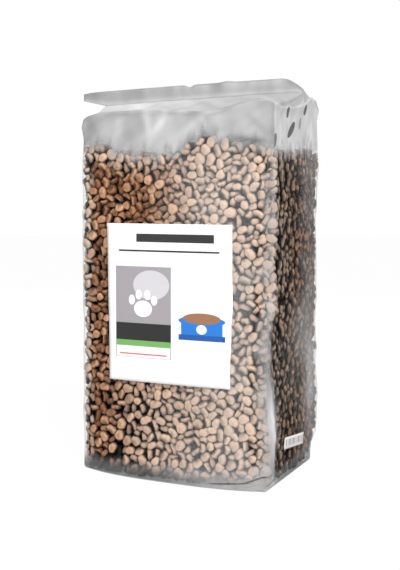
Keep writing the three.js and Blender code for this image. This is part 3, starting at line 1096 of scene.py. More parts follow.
@dataclass
class FilmBag:
    """The bag itself: one sheet of clear film over the food, closed at its ridge."""

    form: BagForm
    top: TopForm
    cell: float = 3.2
    thickness: float = FILM_THICKNESS
    weld_reach: float = 2e-5
    least_edge: float = 1e-6
    arc_steps: int = 4
    base_rings: int = 8
    first_ring: float = 0.1
    edge_steps: int = 4
    roof_rows: int = 14
    roof_waves: Waves = Waves(0.6, 47.0, 1.1)
    pull: float = 0.03
    rounds: int = 140
    clearance: float = 0.15
    first_dip: float = -1.2
    deepest_dip: float = 2.4
    slack: float = 2.6
    slack_waves: Waves = Waves(1.0, 61.0, 0.4)
    small_slack_waves: Waves = Waves(0.6, 37.0, 2.0)
    slack_from_fill: tuple[float, float] = (-12.0, 18.0)
    slack_from_edge: tuple[float, float] = (4.0, -14.0)
    drawn_in: float = 0.8
    haze_bounds: tuple[float, float] = (0.01, 0.97)
    look: FilmLook = field(default_factory=FilmLook)
    creases: tuple[Crease, ...] = (
        Crease(Face.FRONT, (-34, 404), (-29, 362), 1.0, 4.6, glow=0.20),
        Crease(Face.FRONT, (-8, 402), (-26, 372), 1.0, 4.0, glow=0.18),
        Crease(Face.FRONT, (18, 397), (98, 410), 0.0, 2.2, glow=-0.30),
        Crease(Face.FRONT, (-62, 398), (-70, 372), 0.8, 6.0, glow=0.14),
        Crease(Face.FRONT, (40, 398), (0, 368), 0.6, 5.0, glow=0.14),
        Crease(Face.FRONT, (20, 400), (52, 376), -1.0, 4.0, glow=-0.10),
        Crease(Face.FRONT, (62, 370), (104, 364), -1.2, 3.4, glow=-0.34),
        Crease(Face.FRONT, (82, 392), (102, 374), -0.8, 3.6, glow=-0.16),
        Crease(Face.FRONT, (111, 410), (111, 345), 0.0, 4.0, glow=-0.20),
        Crease(Face.FRONT, (36, 10), (110, 16), -1.4, 1.8, cover=0.1, glow=-0.20),
        Crease(Face.FRONT, (-60, 20), (40, 12), -0.8, 3.0),
        Crease(Face.FRONT, (108, 20), (107, 110), 0.6, 2.0, cover=0.2, glow=0.12),
        Crease(Face.FRONT, (101, 110), (104, 180), -0.6, 2.6, glow=-0.12),
        Crease(Face.FRONT, (108, 202), (110, 180), 0.4, 3.0, cover=0.2, glow=0.24),
        Crease(Face.FRONT, (106, 300), (101, 352), -0.8, 3.0, glow=-0.30),
        Crease(Face.RIGHT, (48, 50), (50, 150), 0.0, 18.0, cover=0.20, glow=0.30),
        Crease(Face.RIGHT, (-64, 30), (-64, 110), 0.0, 12.0, cover=0.48, glow=0.30),
        Crease(Face.RIGHT, (0, 60), (0, 210), 0.0, 34.0, cover=0.07, glow=0.36),
        Crease(Face.RIGHT, (-70, 10), (-56, 14), 0.0, 3.0, glow=0.40),
        Crease(Face.RIGHT, (-66, 14), (-20, 6), -1.5, 2.5),
        Crease(Face.RIGHT, (-50, 4), (-30, 30), 1.2, 3.0),
        Crease(Face.RIGHT, (-60, 400), (-48, 340), 1.0, 3.5, glow=0.15),
        Crease(Face.RIGHT, (50, 404), (44, 345), 1.2, 4.0, glow=0.12),
        Crease(Face.BACK, (-70, 400), (-30, 368), 1.6, 4.0),
        Crease(Face.BACK, (60, 402), (20, 366), 1.8, 4.0),
        Crease(Face.BACK, (80, 20), (-80, 16), -1.4, 3.0),
        Crease(Face.LEFT, (-40, 392), (0, 360), 1.5, 4.0),
        Crease(Face.LEFT, (50, 396), (10, 362), 1.5, 4.0),
    )

    def columns(self) -> np.ndarray:
        """Where the film's columns of points stand, by distance walked round the block."""
        spans = self.form.spans(self.form.crease_radius)
        stretches = []
        for start, end, on_arc in zip(spans[:-1], spans[1:], [False, True] * 4):
            steps = self.arc_steps if on_arc else round((end - start) / self.cell)
            stretches.append(np.linspace(start, end, steps, endpoint=False))
        return np.concatenate(stretches)

    def rest_on_food(
        self, level: np.ndarray, place: np.ndarray, outward: np.ndarray, food: KibbleFill,
    ) -> tuple[np.ndarray, np.ndarray]:
        """Draws the film in until it rests on the kibble behind it.

        Args:
            level: The height of each point of the wall, by row and column.
            place: Each column's place on the block's plan.
            outward: Each column's outward direction.
            food: The food.

        Returns:
            How far each point of the wall lies outside its panel, most being a little inside, and
            how far out the kibble holds it at the least.
        """
        rows, columns = level.shape
        held = np.full(level.shape, -self.deepest_dip)
        skin = np.concatenate([points.reshape(-1, 3) for points in food.skin])
        aside = np.abs(skin[:, 0]) - self.form.half_width
        edge = np.maximum(aside, np.abs(skin[:, 1]) - self.form.half_depth)
        skin = skin[edge > -2 * self.deepest_dip]
        column = ((skin[:, None, :2] - place[None]) ** 2).sum(2).argmin(1)
        out = ((skin[:, :2] - place[column]) * outward[column]).sum(1) + self.clearance
        rise = (level[-1] - level[0]) / (rows - 1)
        row = (skin[:, 2] - level[0, column]) / rise[column]
        for across in (-1, 0, 1):
            for up in (0, 1):
                over = np.clip(np.floor(row).astype(int) + up, 0, rows - 1)
                np.maximum.at(held, (over, (column + across) % columns), out)
        depth = np.full(level.shape, self.first_dip)
        for _ in range(self.rounds):
            depth[[0, -1]] = 0
            mean = (np.roll(depth, 1, 1) + np.roll(depth, -1, 1)) / 4
            mean[1:-1] += (depth[2:] + depth[:-2]) / 4
            mean[[0, -1]] = 0
            depth = np.maximum(mean - self.pull, held)
        return depth, held

    def fold(
        self, along: np.ndarray, outward: np.ndarray, place: np.ndarray, level: np.ndarray,
    ) -> np.ndarray:
        """The creases and the slack of the headspace.

        Args:
            along: Each column's distance walked.
            outward: Each column's outward direction.
            place: Each column's place on the block's plan.
            level: The height of each point of the wall, by row and column.

        Returns:
            How far each point of the wall is pushed out.
        """
        over = ease(*(self.form.fill_top + step for step in self.slack_from_fill), level)
        under_edge = ease(*(self.form.shoulder + step for step in self.slack_from_edge), level)
        slack = self.slack_waves.at(along) + self.small_slack_waves.at(along + 0.5 * level)
        push = self.slack * over * under_edge * (slack - self.drawn_in)
        for crease in self.creases:
            push += crease.height * crease.felt(place, level, outward)
        return push

    def marks(self, points: np.ndarray, outward: np.ndarray, food: KibbleFill) -> dict[str, np.ndarray]:
        """How milky and how light the film is at each of its points.

        Args:
            points: The points in the block.
            outward: The outward direction at each.
            food: The food, whose level clears the film.

        Returns:
            The marks by their names.
        """
        x, y, z = points.T
        in_front = facings(outward)[Face.FRONT.value] > 0.5
        level = np.where(in_front, follow(food.top_line_front, x), food.heap_at(x, y))
        marks = self.look.marks(points, outward, level)
        # Each crease paints its glow, a highlight along a fold or shade in it, into the film's shade.
        for crease in self.creases:
            felt = crease.felt(points, z, outward)
            marks["haze"] = marks["haze"] + crease.cover * felt
            marks["shade"] = marks["shade"] + crease.glow * felt
        marks["haze"] = np.clip(marks["haze"], *self.haze_bounds)
        marks["shade"] = np.clip(marks["shade"], 0.0, 1.0)
        return marks

    def under(self, place: np.ndarray, outward: np.ndarray) -> list[Ring]:
        """The rings of the base, from near its middle, and of the rounded edge round it.

        Args:
            place: Each column's place on the block's plan.
            outward: Each column's outward direction.

        Returns:
            The rings.
        """
        count, radius = len(place), self.form.base_radius
        level_out = np.column_stack([outward, np.zeros(count)])
        down = np.tile((0.0, 0.0, -1.0), (count, 1))
        flat = place - outward * radius
        rings = [
            (np.column_stack([share * flat, np.zeros(count)]), down)
            for share in np.linspace(self.first_ring, 1, self.base_rings, endpoint=False)
        ]
        for angle in np.linspace(0, math.pi / 2, self.edge_steps, endpoint=False):
            inset = radius * (1 - math.sin(angle))
            height = np.full(count, radius * (1 - math.cos(angle)))
            normal = math.sin(angle) * level_out + math.cos(angle) * down
            rings.append((np.column_stack([place - outward * inset, height]), normal))
        return rings

    def walls(
        self, along: np.ndarray, place: np.ndarray, outward: np.ndarray, food: KibbleFill,
    ) -> list[Ring]:
        """The rings of the four panels, from the foot to the shoulder.

        Args:
            along: Each column's distance walked.
            place: Each column's place on the block's plan.
            outward: Each column's outward direction.
            food: The food that holds the panels out.

        Returns:
            The rings.
        """
        foot = self.form.base_radius
        rows = round((self.form.shoulder - foot) / self.cell)
        share = np.linspace(0, 1, rows + 1)[:, None]
        level = foot + share * (self.top.shoulder_at(place, outward) - foot)
        push, held = self.rest_on_food(level, place, outward, food)
        push = np.maximum(push + self.fold(along, outward, place, level), held)
        push[-1] = 0
        level_out = np.column_stack([outward, np.zeros(len(along))])
        return [
            (np.column_stack([place + outward * out[:, None], height]), level_out)
            for height, out in zip(level, push)
        ]

    def roof(self, edge: np.ndarray, along: np.ndarray, outward: np.ndarray) -> list[Ring]:
        """The rings of the roof, from the shoulder in to the ridge.

        Args:
            edge: The points of the shoulder's ring.
            along: Each column's distance walked.
            outward: Each column's outward direction.

        Returns:
            The rings.
        """
        half = self.form.half_width - self.form.crease_radius
        on_wide = np.abs(outward[:, 1]) > DEAD_ON
        share = np.where(on_wide, 0.5 + edge[:, 0] / (2 * half), (outward[:, 0] > 0).astype(float))
        ridge = self.top.ridge_at(np.clip(share, 0, 1))
        up = np.tile((0.0, 0.0, 1.0), (len(along), 1))
        rings = []
        for row in range(1, self.roof_rows + 1):
            rise = row / self.roof_rows
            sag = self.top.roof_sag * math.sin(math.pi * rise) * (1 + self.roof_waves.at(along))
            lowered = np.column_stack([np.zeros((len(along), 2)), sag])
            rings.append((edge + rise * (ridge - edge) - lowered, up))
        return rings

    def build(self, food: KibbleFill) -> bpy.types.Object:
        """Makes the sheet of film, from the middle of the base up to the ridge.

        Args:
            food: The food.

        Returns:
            The object.
        """
        along = self.columns()
        place, outward = self.form.outline(along, self.form.crease_radius)
        parts = self.under(place, outward) + self.walls(along, place, outward, food)
        parts += self.roof(parts[-1][0], along, outward)
        rings, normals = zip(*parts)
        points, normal = np.vstack([*rings, (0, 0, 0)]), np.vstack([*normals, (0, 0, -1)])
        grid = grid_faces(len(rings), len(along), closed=True)
        middle = fan_faces(len(along), len(points) - 1, under=True)
        marks = self.marks(points, normal, food)
        film = SheetMesh(self.form.settle(points), [grid, middle], marks).build("film_sheet")
        self.weld(film)
        thicken(film, self.thickness, -1)
        return film

    def weld(self, piece: bpy.types.Object) -> None:
        """Joins the points of a piece that coincide, as where the film meets at its ridge.

        Args:
            piece: The piece.
        """
        work = bmesh.new()
        work.from_mesh(piece.data)
        bmesh.ops.remove_doubles(work, verts=work.verts, dist=self.weld_reach)
        bmesh.ops.dissolve_degenerate(work, edges=work.edges, dist=self.least_edge)
        work.to_mesh(piece.data)
        work.free()


@dataclass
class FilmFin:
    """The fused fin along the ridge, where the bag's plies are welded into one."""

    top: TopForm
    plies: int = 4
    columns: int = 110
    rows: int = 9
    height: float = 16.0
    least_height: float = 1.5
    overhang: tuple[float, float] = (24.0, 7.0)
    root_dip: float = 0.6
    left_rise: float = 7.0
    right_dip: float = 6.0
    left_taper: float = 1.4
    drop: Profile = (
        (0.90, 0.0), (0.93, 1.2), (0.954, 3.8), (0.98, 7.6), (1.01, 13.0), (1.022, 18.0), (1.03, 21.0),
    )
    dents: tuple[tuple[float, float, float], ...] = ((2.6, 0.43, 0.018), (-1.2, 0.62, 0.03))
    waves: tuple[Waves, Waves] = (Waves(0.8, 90.0, 1.7), Waves(0.4, 31.0, 0.3))
    lean: float = 3.0
    haze: float = 0.93
    # Painted light and shade on the fin: lighter at its root, darker up its face.
    shade: Profile = ((0, 0.60), (0.14, 0.44), (0.4, 0.28), (0.8, 0.23), (1, 0.28))
    shade_waves: Waves = Waves(0.05, 47.0, 0.6)

    def build(self) -> bpy.types.Object:
        """Makes the fin, a sheet that stands on the ridge and reaches past both its ends."""
        length = float(np.linalg.norm(np.array(self.top.ridge_end) - np.array(self.top.ridge_start)))
        first, last = -self.overhang[0] / length, 1 + self.overhang[1] / length
        share = np.linspace(first, last, self.columns)
        spot = self.top.ridge_at(share)
        past_left = np.clip(share / first, 0, 1)
        past_right = np.clip((share - 1) / (last - 1), 0, 1)
        low = spot[:, 2] - np.where((share > 0) & (share < 1), self.root_dip, 0)
        low += self.left_rise * past_left - self.right_dip * past_right
        high = spot[:, 2] + self.height - self.left_taper * past_left**3 - follow(self.drop, share)
        for depth, middle, width in self.dents:
            high -= depth * np.exp(-(((share - middle) / width) ** 2))
        high = np.maximum(high, low + self.least_height)
        rises = np.linspace(0, 1, self.rows)
        points = []
        for rise in rises:
            wave = rise * sum(waves.at(share * length) for waves in self.waves)
            row = spot + (wave - self.lean * rise**2)[:, None] * self.top.ridge_aside()
            row[:, 2] = low + rise * (high - low)
            points.append(row)
        up = np.repeat(rises, self.columns)
        uneven = self.shade_waves.at(np.tile(share, self.rows) * length)
        none = np.zeros(len(up))
        marks = {
            "haze": none + self.haze, "shade": follow(self.shade, up) + uneven,
            "right": none, "front": none,
        }
        grid = grid_faces(self.rows, self.columns, closed=False)
        fin = SheetMesh(np.concatenate(points), [grid], marks).build("film_fin")
        thicken(fin, self.plies * FILM_THICKNESS, 0)
        return fin


@dataclass
class StuckLabel:
    """A paper label that lies on a panel where its solid is."""

    form: BagForm
    face: Face
    middle: tuple[float, float]
    size: tuple[float, float]
    tilt: float = 0.0
    lean: float = 0.0
    lift: float = 0.35
    thickness: float = 0.15
    cell: float = 4.0
    least_cells: tuple[int, int] = (6, 4)
    corner_curl: float = 0.5
    curl_power: int = 8
    waves: Waves = Waves(0.08, 60.0, 0.8)

    def build(self, name: str) -> bpy.types.Object:
        """Makes the label, bent to the panel.

        Args:
            name: The object's name.

        Returns:
            The object.
        """
        width, height = self.size
        columns, rows = (
            max(least, round(side / self.cell)) for least, side in zip(self.least_cells, self.size)
        )
        steps = (np.linspace(-0.5, 0.5, count + 1) for count in (columns, rows))
        across, up = (share.ravel() for share in np.meshgrid(*steps))
        curl = self.corner_curl * (2 * np.abs(across) * 2 * np.abs(up)) ** self.curl_power
        out = self.lift + curl + self.waves.at(across * width + up * height)
        cosine, sine = math.cos(self.tilt), math.sin(self.tilt)
        side = self.middle[0] + width * across * cosine - height * up * (sine + self.lean)
        level = self.middle[1] + width * across * sine + height * up * cosine
        if self.face is Face.FRONT:
            points = np.stack([side, -self.form.half_depth - out, level], 1)
        else:
            points = np.stack([self.form.half_width + out, side, level], 1)
        grid = grid_faces(rows + 1, columns + 1, closed=False)
        label = SheetMesh(self.form.settle(points), [grid]).build(name)
        thicken(label, self.thickness, 1)
        return label


class Sum(Enum):
    """The sums that a Math node does."""

    ADD = "ADD"
    TAKE = "SUBTRACT"
    TIMES = "MULTIPLY"
    OVER = "DIVIDE"
    POWER = "POWER"
    MOST = "MAXIMUM"
    SIZE = "ABSOLUTE"
    ABOVE = "GREATER_THAN"


Socket = bpy.types.NodeSocket
Fed = float | tuple[float, ...] | Socket


class Desk:
    """Sets out and links the nodes of one tree."""

    colour_inputs = (0, 6, 7)
    colour_output = 2

    def __init__(self, tree: bpy.types.NodeTree) -> None:
        """Keeps the tree to work on."""
        self.tree = tree

    def place(
        self, kind: str, feeds: dict[str | int, Fed] | None = None, **settings: object,
    ) -> bpy.types.Node:
        """Adds a node.

        Args:
            kind: The node's type.
            feeds: What each named or numbered input gets: a value, or an output to link.
            **settings: The node's own settings.

        Returns:
            The node.
        """
        node = self.tree.nodes.new(kind)
        for name, value in settings.items():
            setattr(node, name, value)
        for key, value in (feeds or {}).items():
            self.feed(node.inputs[key], value)
        return node

    def feed(self, socket: Socket, value: Fed) -> None:
        """Links an output to an input, or sets the input's own value."""
        if isinstance(value, Socket):
            self.tree.links.new(value, socket)
        else:
            socket.default_value = value

    def work_out(self, how: Sum, first: Fed, second: Fed = 0.0, clamp: bool = False) -> Socket:
        """The result of one sum.

        Args:
            how: Which sum.
            first: Its first number.
            second: Its second number.
            clamp: Whether the result is kept between 0 and 1.

        Returns:
            The output that holds the result.
        """
        node = self.place("ShaderNodeMath", {0: first, 1: second}, operation=how.value, use_clamp=clamp)
        return node.outputs[0]

    def blend(self, share: Fed, low: Fed, high: Fed) -> Socket:
        """A colour between two colours.

        Args:
            share: How much of the second colour there is.
            low: The first colour.
            high: The second colour.

        Returns:
            The output that holds the colour.
        """
        feeds = dict(zip(self.colour_inputs, (share, low, high)))
        node = self.place("ShaderNodeMix", feeds, data_type="RGBA")
        return node.outputs[self.colour_output]

    def ramp(self, value: Fed, stops: tuple[tuple[float, Tint], ...]) -> Socket:
        """A colour from a ramp.

        Args:
            value: The place on the ramp.
            stops: The ramp's places and colours.

        Returns:
            The output that holds the colour.
        """
        node = self.place("ShaderNodeValToRGB", {0: value})
        bar = node.color_ramp.elements
        while len(bar) < len(stops):
            bar.new(1.0)
        for element, (place, colour) in zip(bar, stops):
            element.position = place
            element.color = colour
        return node.outputs[0]

    def mark(self, name: str) -> Socket:
        """The number that the mesh keeps under a name."""
        return self.place("ShaderNodeAttribute", attribute_name=name).outputs["Fac"]

    def group(self, tree: bpy.types.NodeTree, feeds: dict[str, Fed]) -> Socket:
        """Places a shared effect and gives its output."""
        return self.place("ShaderNodeGroup", feeds, node_tree=tree).outputs[0]


def tint(red: int, green: int, blue: int) -> Tint:
    """A colour as a shader takes it, from the 0 to 255 values that a screen shows."""

    def linear(value: int) -> float:
        """One part of the colour, without the screen's curve."""
        share = value / 255
        return share / 12.92 if share <= 0.04045 else ((share + 0.055) / 1.055) ** 2.4

    return (linear(red), linear(green), linear(blue), 1.0)


class Effects:
    """The shared effects, each a node group that is built once."""

    mottle_swing = 3.0

    def __init__(self) -> None:
        """Builds the groups."""
        self.mottle = self.make_mottle()
        self.grain = self.make_grain()
        self.bar = self.make_shape("printed_bar", round_one=False)
        self.disc = self.make_shape("printed_disc", round_one=True)

    def start(
        self, name: str, inputs: dict[str, float], output: str,
    ) -> tuple[Desk, Socket, bpy.types.Node]:
        """Starts a group.

        Args:
            name: The group's name.
            inputs: Its inputs with their usual values.
            output: The name of its output.

        Returns:
            Where its nodes are placed, the inputs' outputs by name, and the group's output node.
        """
        tree = bpy.data.node_groups.new(name, "ShaderNodeTree")
        for socket, value in inputs.items():
            made = tree.interface.new_socket(socket, in_out="INPUT", socket_type="NodeSocketFloat")
            made.default_value = value
        tree.interface.new_socket(output, in_out="OUTPUT", socket_type="NodeSocketFloat")
        desk = Desk(tree)
        return desk, desk.place("NodeGroupInput").outputs, desk.place("NodeGroupOutput")

    def make_mottle(self) -> bpy.types.NodeTree:
        """Cloudy variation: a value comes out a little higher or lower from place to place."""
        inputs = {"Value": 0.5, "Amount": 0.1, "Pitch": 0.02, "Stretch": 1.0}
        desk, given, out = self.start("mottle", inputs, "Value")
        where = desk.place("ShaderNodeTexCoord").outputs["Object"]
        finer = desk.work_out(Sum.OVER, 1.0, given["Pitch"])
        flat = desk.place("ShaderNodeCombineXYZ", {0: 1.0, 1: 1.0, 2: given["Stretch"]}).outputs[0]
        squashed = desk.place("ShaderNodeVectorMath", {0: where, 1: flat}, operation="MULTIPLY")
        feeds = {"Vector": squashed.outputs[0], "Scale": finer, "Detail": 3.0}
        noise = desk.place("ShaderNodeTexNoise", feeds).outputs[0]
        swing = desk.work_out(Sum.TIMES, desk.work_out(Sum.TAKE, noise, 0.5), self.mottle_swing)
        change = desk.work_out(Sum.TIMES, swing, given["Amount"])
        desk.feed(out.inputs[0], desk.work_out(Sum.ADD, given["Value"], change, clamp=True))
        return desk.tree

    def make_grain(self) -> bpy.types.NodeTree:
        """Fine roughness for a bump: the height of a rough surface."""
        desk, given, out = self.start("grain", {"Pitch": 0.001, "Pits": 0.5}, "Height")
        where = desk.place("ShaderNodeTexCoord").outputs["Object"]
        finer = desk.work_out(Sum.OVER, 1.0, given["Pitch"])
        feeds = {"Vector": where, "Scale": finer}
        noise = desk.place("ShaderNodeTexNoise", feeds | {"Detail": 4.0}).outputs[0]
        cells = desk.place("ShaderNodeTexVoronoi", feeds).outputs["Distance"]
        pitted = desk.work_out(Sum.TIMES, cells, given["Pits"])
        desk.feed(out.inputs[0], desk.work_out(Sum.ADD, noise, pitted))
        return desk.tree

    def make_shape(self, name: str, round_one: bool) -> bpy.types.NodeTree:
        """A printed shape on an upright panel: 1 inside it and 0 outside.

        Args:
            name: The group's name.
            round_one: Whether the shape is an ellipse, not a rectangle.

        Returns:
            The group.
        """
        inputs = {
            "Across": 0.0, "Up": 0.0, "Half Width": 10.0, "Half Height": 10.0,
            "Along Y": 0.0, "Lean": 0.0,
        }
        desk, given, out = self.start(name, inputs, "Mask")
        where = desk.place("ShaderNodeTexCoord").outputs["Object"]
        x, y, z = desk.place("ShaderNodeSeparateXYZ", {0: where}).outputs[:3]
        from_x = desk.work_out(Sum.TIMES, x, desk.work_out(Sum.TAKE, 1.0, given["Along Y"]))
        from_y = desk.work_out(Sum.TIMES, y, given["Along Y"])
        along = desk.work_out(Sum.TIMES, desk.work_out(Sum.ADD, from_x, from_y), 1 / MM)
        level = desk.work_out(Sum.TAKE, desk.work_out(Sum.TIMES, z, 1 / MM), given["Up"])
        middle = desk.work_out(Sum.ADD, given["Across"], desk.work_out(Sum.TIMES, level, given["Lean"]))
        aside = desk.work_out(Sum.OVER, desk.work_out(Sum.TAKE, along, middle), given["Half Width"])
        above = desk.work_out(Sum.OVER, level, given["Half Height"])
        aside, above = (desk.work_out(Sum.SIZE, way) for way in (aside, above))
        if round_one:
            aside, above = (desk.work_out(Sum.POWER, way, 2.0) for way in (aside, above))
        far = desk.work_out(Sum.ADD if round_one else Sum.MOST, aside, above)
        desk.feed(out.inputs[0], desk.work_out(Sum.ABOVE, 1.0, far))
        return desk.tree


@dataclass(frozen=True)
class Grain:
    """The fine roughness of a surface: its pitch in metres, its pits, its strength and its depth."""

    pitch: float
    pits: float
    strength: float
    depth: float


@dataclass(frozen=True)
class Finish:
    """What every finish shares: the name of its material, its gloss and its grain."""

    name: str
    roughness: float
    grain: Grain

    def start(self) -> tuple[bpy.types.Material, Desk, bpy.types.Node]:
        """Starts the material.

        Returns:
            The material, where its nodes are placed, and its shader.
        """
        material = bpy.data.materials.new(self.name)
        material.use_nodes = True
        desk = Desk(material.node_tree)
        shader = material.node_tree.nodes["Principled BSDF"]
        shader.inputs["Roughness"].default_value = self.roughness
        return material, desk, shader

    def roughen(self, desk: Desk, shader: bpy.types.Node, effects: Effects) -> None:
        """Gives the shader the finish's grain.

        Args:
            desk: Where the nodes are placed.
            shader: The shader.
            effects: The shared effects.
        """
        height = desk.group(effects.grain, {"Pitch": self.grain.pitch, "Pits": self.grain.pits})
        feeds = {"Height": height, "Strength": self.grain.strength, "Distance": self.grain.depth}
        desk.feed(shader.inputs["Normal"], desk.place("ShaderNodeBump", feeds).outputs[0])


@dataclass(frozen=True)
class Slit:
    """A slanted dark line of painted shade in a panel, for a vent or a sharp crease: its middle, its
    half sizes in mm, its lean and its darkness.
    """

    across: float
    up: float
    half_width: float
    half_height: float
    lean: float
    strength: float
    panel: Face = Face.RIGHT


@dataclass(frozen=True)
class FilmFinish(Finish):
    """Clear plastic film, milky where it is creased, doubled or lies over nothing."""

    name: str = "clear_film"
    roughness: float = 0.52
    grain: Grain = Grain(0.006, 0.0, 0.12, 0.0006)
    slits: tuple[Slit, ...] = (
        Slit(-35.4, 396.8, 5.2, 5.7, -0.10, 0.9),
        Slit(-22.3, 379.6, 7.4, 9.1, 1.12, 0.92),
        Slit(24.1, 403.8, 5.4, 6.1, 0.38, 0.9),
        Slit(7.2, 388.0, 4.0, 6.6, 0.45, 0.5),
        Slit(37.0, 373.0, 3.4, 5.0, 0.40, 0.22),
        Slit(-71.6, 366.2, 4.2, 7.6, 0.30, 0.8),
        Slit(72.0, 8.4, 11.0, 1.9, 10.4, 0.74, Face.FRONT),
        Slit(94.0, 12.4, 2.9, 3.2, 2.6, 0.82, Face.FRONT),
        Slit(105.5, 16.6, 3.6, 1.8, 3.6, 0.78, Face.FRONT),
        Slit(-60.0, 12.0, 3.4, 4.6, 3.4, 0.7),
    )
    slit_cover: float = 0.88
    least_cover: float = 0.008
    dark: Tint = (0.02, 0.02, 0.02, 1.0)
    light: Tint = (0.94, 0.94, 0.95, 1.0)
    gloss: float = 0.04
    gloss_ior: float = 1.9
    gloss_roughness: float = 0.40
    dull_side: float = 0.8

    def make(self, effects: Effects) -> bpy.types.Material:
        """Builds the material.

        Args:
            effects: The shared effects.

        Returns:
            The material.
        """
        material, desk, shader = self.start()
        # The dark lines are painted shade; the film itself has no holes.
        slit_shade = self.slit_shades(desk, effects)
        # The film's colour is its painted light and shade: dark to light by the shade mark, and darker
        # along the slits and creases as painted shade.
        shade = desk.group(effects.mottle, {
            "Value": desk.mark("shade"), "Amount": 0.10, "Pitch": 0.045, "Stretch": 0.7,
        })
        shade = desk.work_out(Sum.TIMES, shade, desk.work_out(Sum.TAKE, 1.0, slit_shade), clamp=True)
        desk.feed(shader.inputs["Base Color"], desk.blend(shade, self.dark, self.light))
        haze = desk.group(effects.mottle, {
            "Value": desk.mark("haze"), "Amount": 0.05, "Pitch": 0.03, "Stretch": 0.6,
        })
        haze = desk.work_out(Sum.MOST, haze, desk.work_out(Sum.TIMES, slit_shade, self.slit_cover))
        clear = desk.work_out(Sum.TAKE, 1.0, haze, clamp=True)
        one_face = desk.work_out(Sum.TAKE, 1.0, desk.work_out(Sum.POWER, clear, 0.5), clamp=True)
        covered = desk.work_out(Sum.MOST, one_face, self.least_cover)
        desk.feed(shader.inputs["Alpha"], covered)
        dulled = desk.work_out(Sum.TIMES, desk.mark("right"), self.dull_side)
        gloss = desk.work_out(Sum.TIMES, desk.work_out(Sum.TAKE, 1.0, dulled), self.gloss)
        desk.feed(shader.inputs["Coat Weight"], desk.work_out(Sum.OVER, gloss, covered, clamp=True))
        shader.inputs["Coat IOR"].default_value = self.gloss_ior
        shader.inputs["Coat Roughness"].default_value = self.gloss_roughness
        self.roughen(desk, shader, effects)
        return material

    def slit_shades(self, desk: Desk, effects: Effects) -> Socket:
        """Where dark lines of painted shade stand for the film's vents and sharp creases.

        Args:
            desk: Where the nodes are placed.
            effects: The shared effects.

        Returns:
            The output that holds each line's strength on the line, and 0 elsewhere.
        """
        slit_shade: Fed = 0.0
        for slit in self.slits:
            mask = desk.group(effects.disc, {
                "Across": slit.across, "Up": slit.up, "Half Width": slit.half_width,
                "Half Height": slit.half_height, "Along Y": float(slit.panel.along),
                "Lean": slit.lean,
            })
            facing = desk.mark(slit.panel.name.lower())
            on_panel = desk.work_out(Sum.TIMES, facing, slit.strength)
            slit_shade = desk.work_out(Sum.MOST, slit_shade, desk.work_out(Sum.TIMES, mask, on_panel, clamp=True))
        return slit_shade


@dataclass(frozen=True)
class KibbleFinish(Finish):
    """Baked kibble, from dark crust to light tan, with a dry grainy face; paled by a painted glow for
    light scattered in the film over it, and darkened by painted shade.
    """

    name: str = "kibble"
    roughness: float = 0.74
    grain: Grain = Grain(0.0016, 0.8, 0.8, 0.0008)
    crust: tuple[tuple[float, Tint], ...] = (
        (0.0, tint(112, 70, 44)), (0.3, tint(154, 106, 74)),
        (0.65, tint(186, 138, 102)), (1.0, tint(210, 168, 134)),
    )
    # The colour of the painted shade.
    gloom: Tint = tint(17, 12, 9)
    # The pale colour of the painted glow.
    painted_glow: Tint = tint(226, 203, 184)
    gloss: float = 0.05

    def make(self, effects: Effects) -> bpy.types.Material:
        """Builds the material.

        Args:
            effects: The shared effects.

        Returns:
            The material.
        """
        material, desk, shader = self.start()
        tone = desk.group(effects.mottle, {"Value": desk.mark("tone"), "Amount": 0.34, "Pitch": 0.003})
        baked = desk.ramp(tone, self.crust)
        # Paled by the painted glow, then darkened towards the gloom tint as painted shade.
        glowing = desk.blend(desk.mark("painted_glow"), baked, self.painted_glow)
        desk.feed(shader.inputs["Base Color"], desk.blend(desk.mark("gloom"), glowing, self.gloom))
        self.roughen(desk, shader, effects)
        shader.inputs["Specular IOR Level"].default_value = self.gloss
        return material


class Outline(Enum):
    """The shapes that the print is made of."""

    BAR = "bar"
    DISC = "disc"


@dataclass(frozen=True)
class Patch:
    """One field of colour in the print, with its place measured from the label's middle."""

    outline: Outline
    across: float
    up: float
    half_width: float
    half_height: float
    colour: Tint


@dataclass(frozen=True)
class PrintFinish(Finish):
    """Smooth label paper with fields of printed colour."""

    name: str = "label_paper"
    roughness: float = 0.42
    grain: Grain = Grain(0.0008, 0.0, 0.08, 0.0002)
    paper: Tint = (0.93, 0.93, 0.93, 1.0)
    fibre_shade: float = 0.975
    patches: tuple[Patch, ...] = ()
    middle: tuple[float, float] = (0.0, 0.0)
    panel: Face = Face.FRONT

    def make(self, effects: Effects) -> bpy.types.Material:
        """Builds the material.

        Args:
            effects: The shared effects.

        Returns:
            The material.
        """
        material, desk, shader = self.start()
        fibre = desk.group(effects.mottle, {"Value": 0.5, "Amount": 0.2, "Pitch": 0.012})
        darker = tuple(self.fibre_shade * part for part in self.paper[:3]) + (1.0,)
        colour = desk.blend(fibre, self.paper, darker)
        for patch in self.patches:
            tree = effects.disc if patch.outline is Outline.DISC else effects.bar
            mask = desk.group(tree, {
                "Across": self.middle[0] + patch.across, "Up": self.middle[1] + patch.up,
                "Half Width": patch.half_width, "Half Height": patch.half_height,
                "Along Y": float(self.panel.along),
            })
            colour = desk.blend(mask, colour, patch.colour)
        desk.feed(shader.inputs["Base Color"], colour)
        self.roughen(desk, shader, effects)
        return material


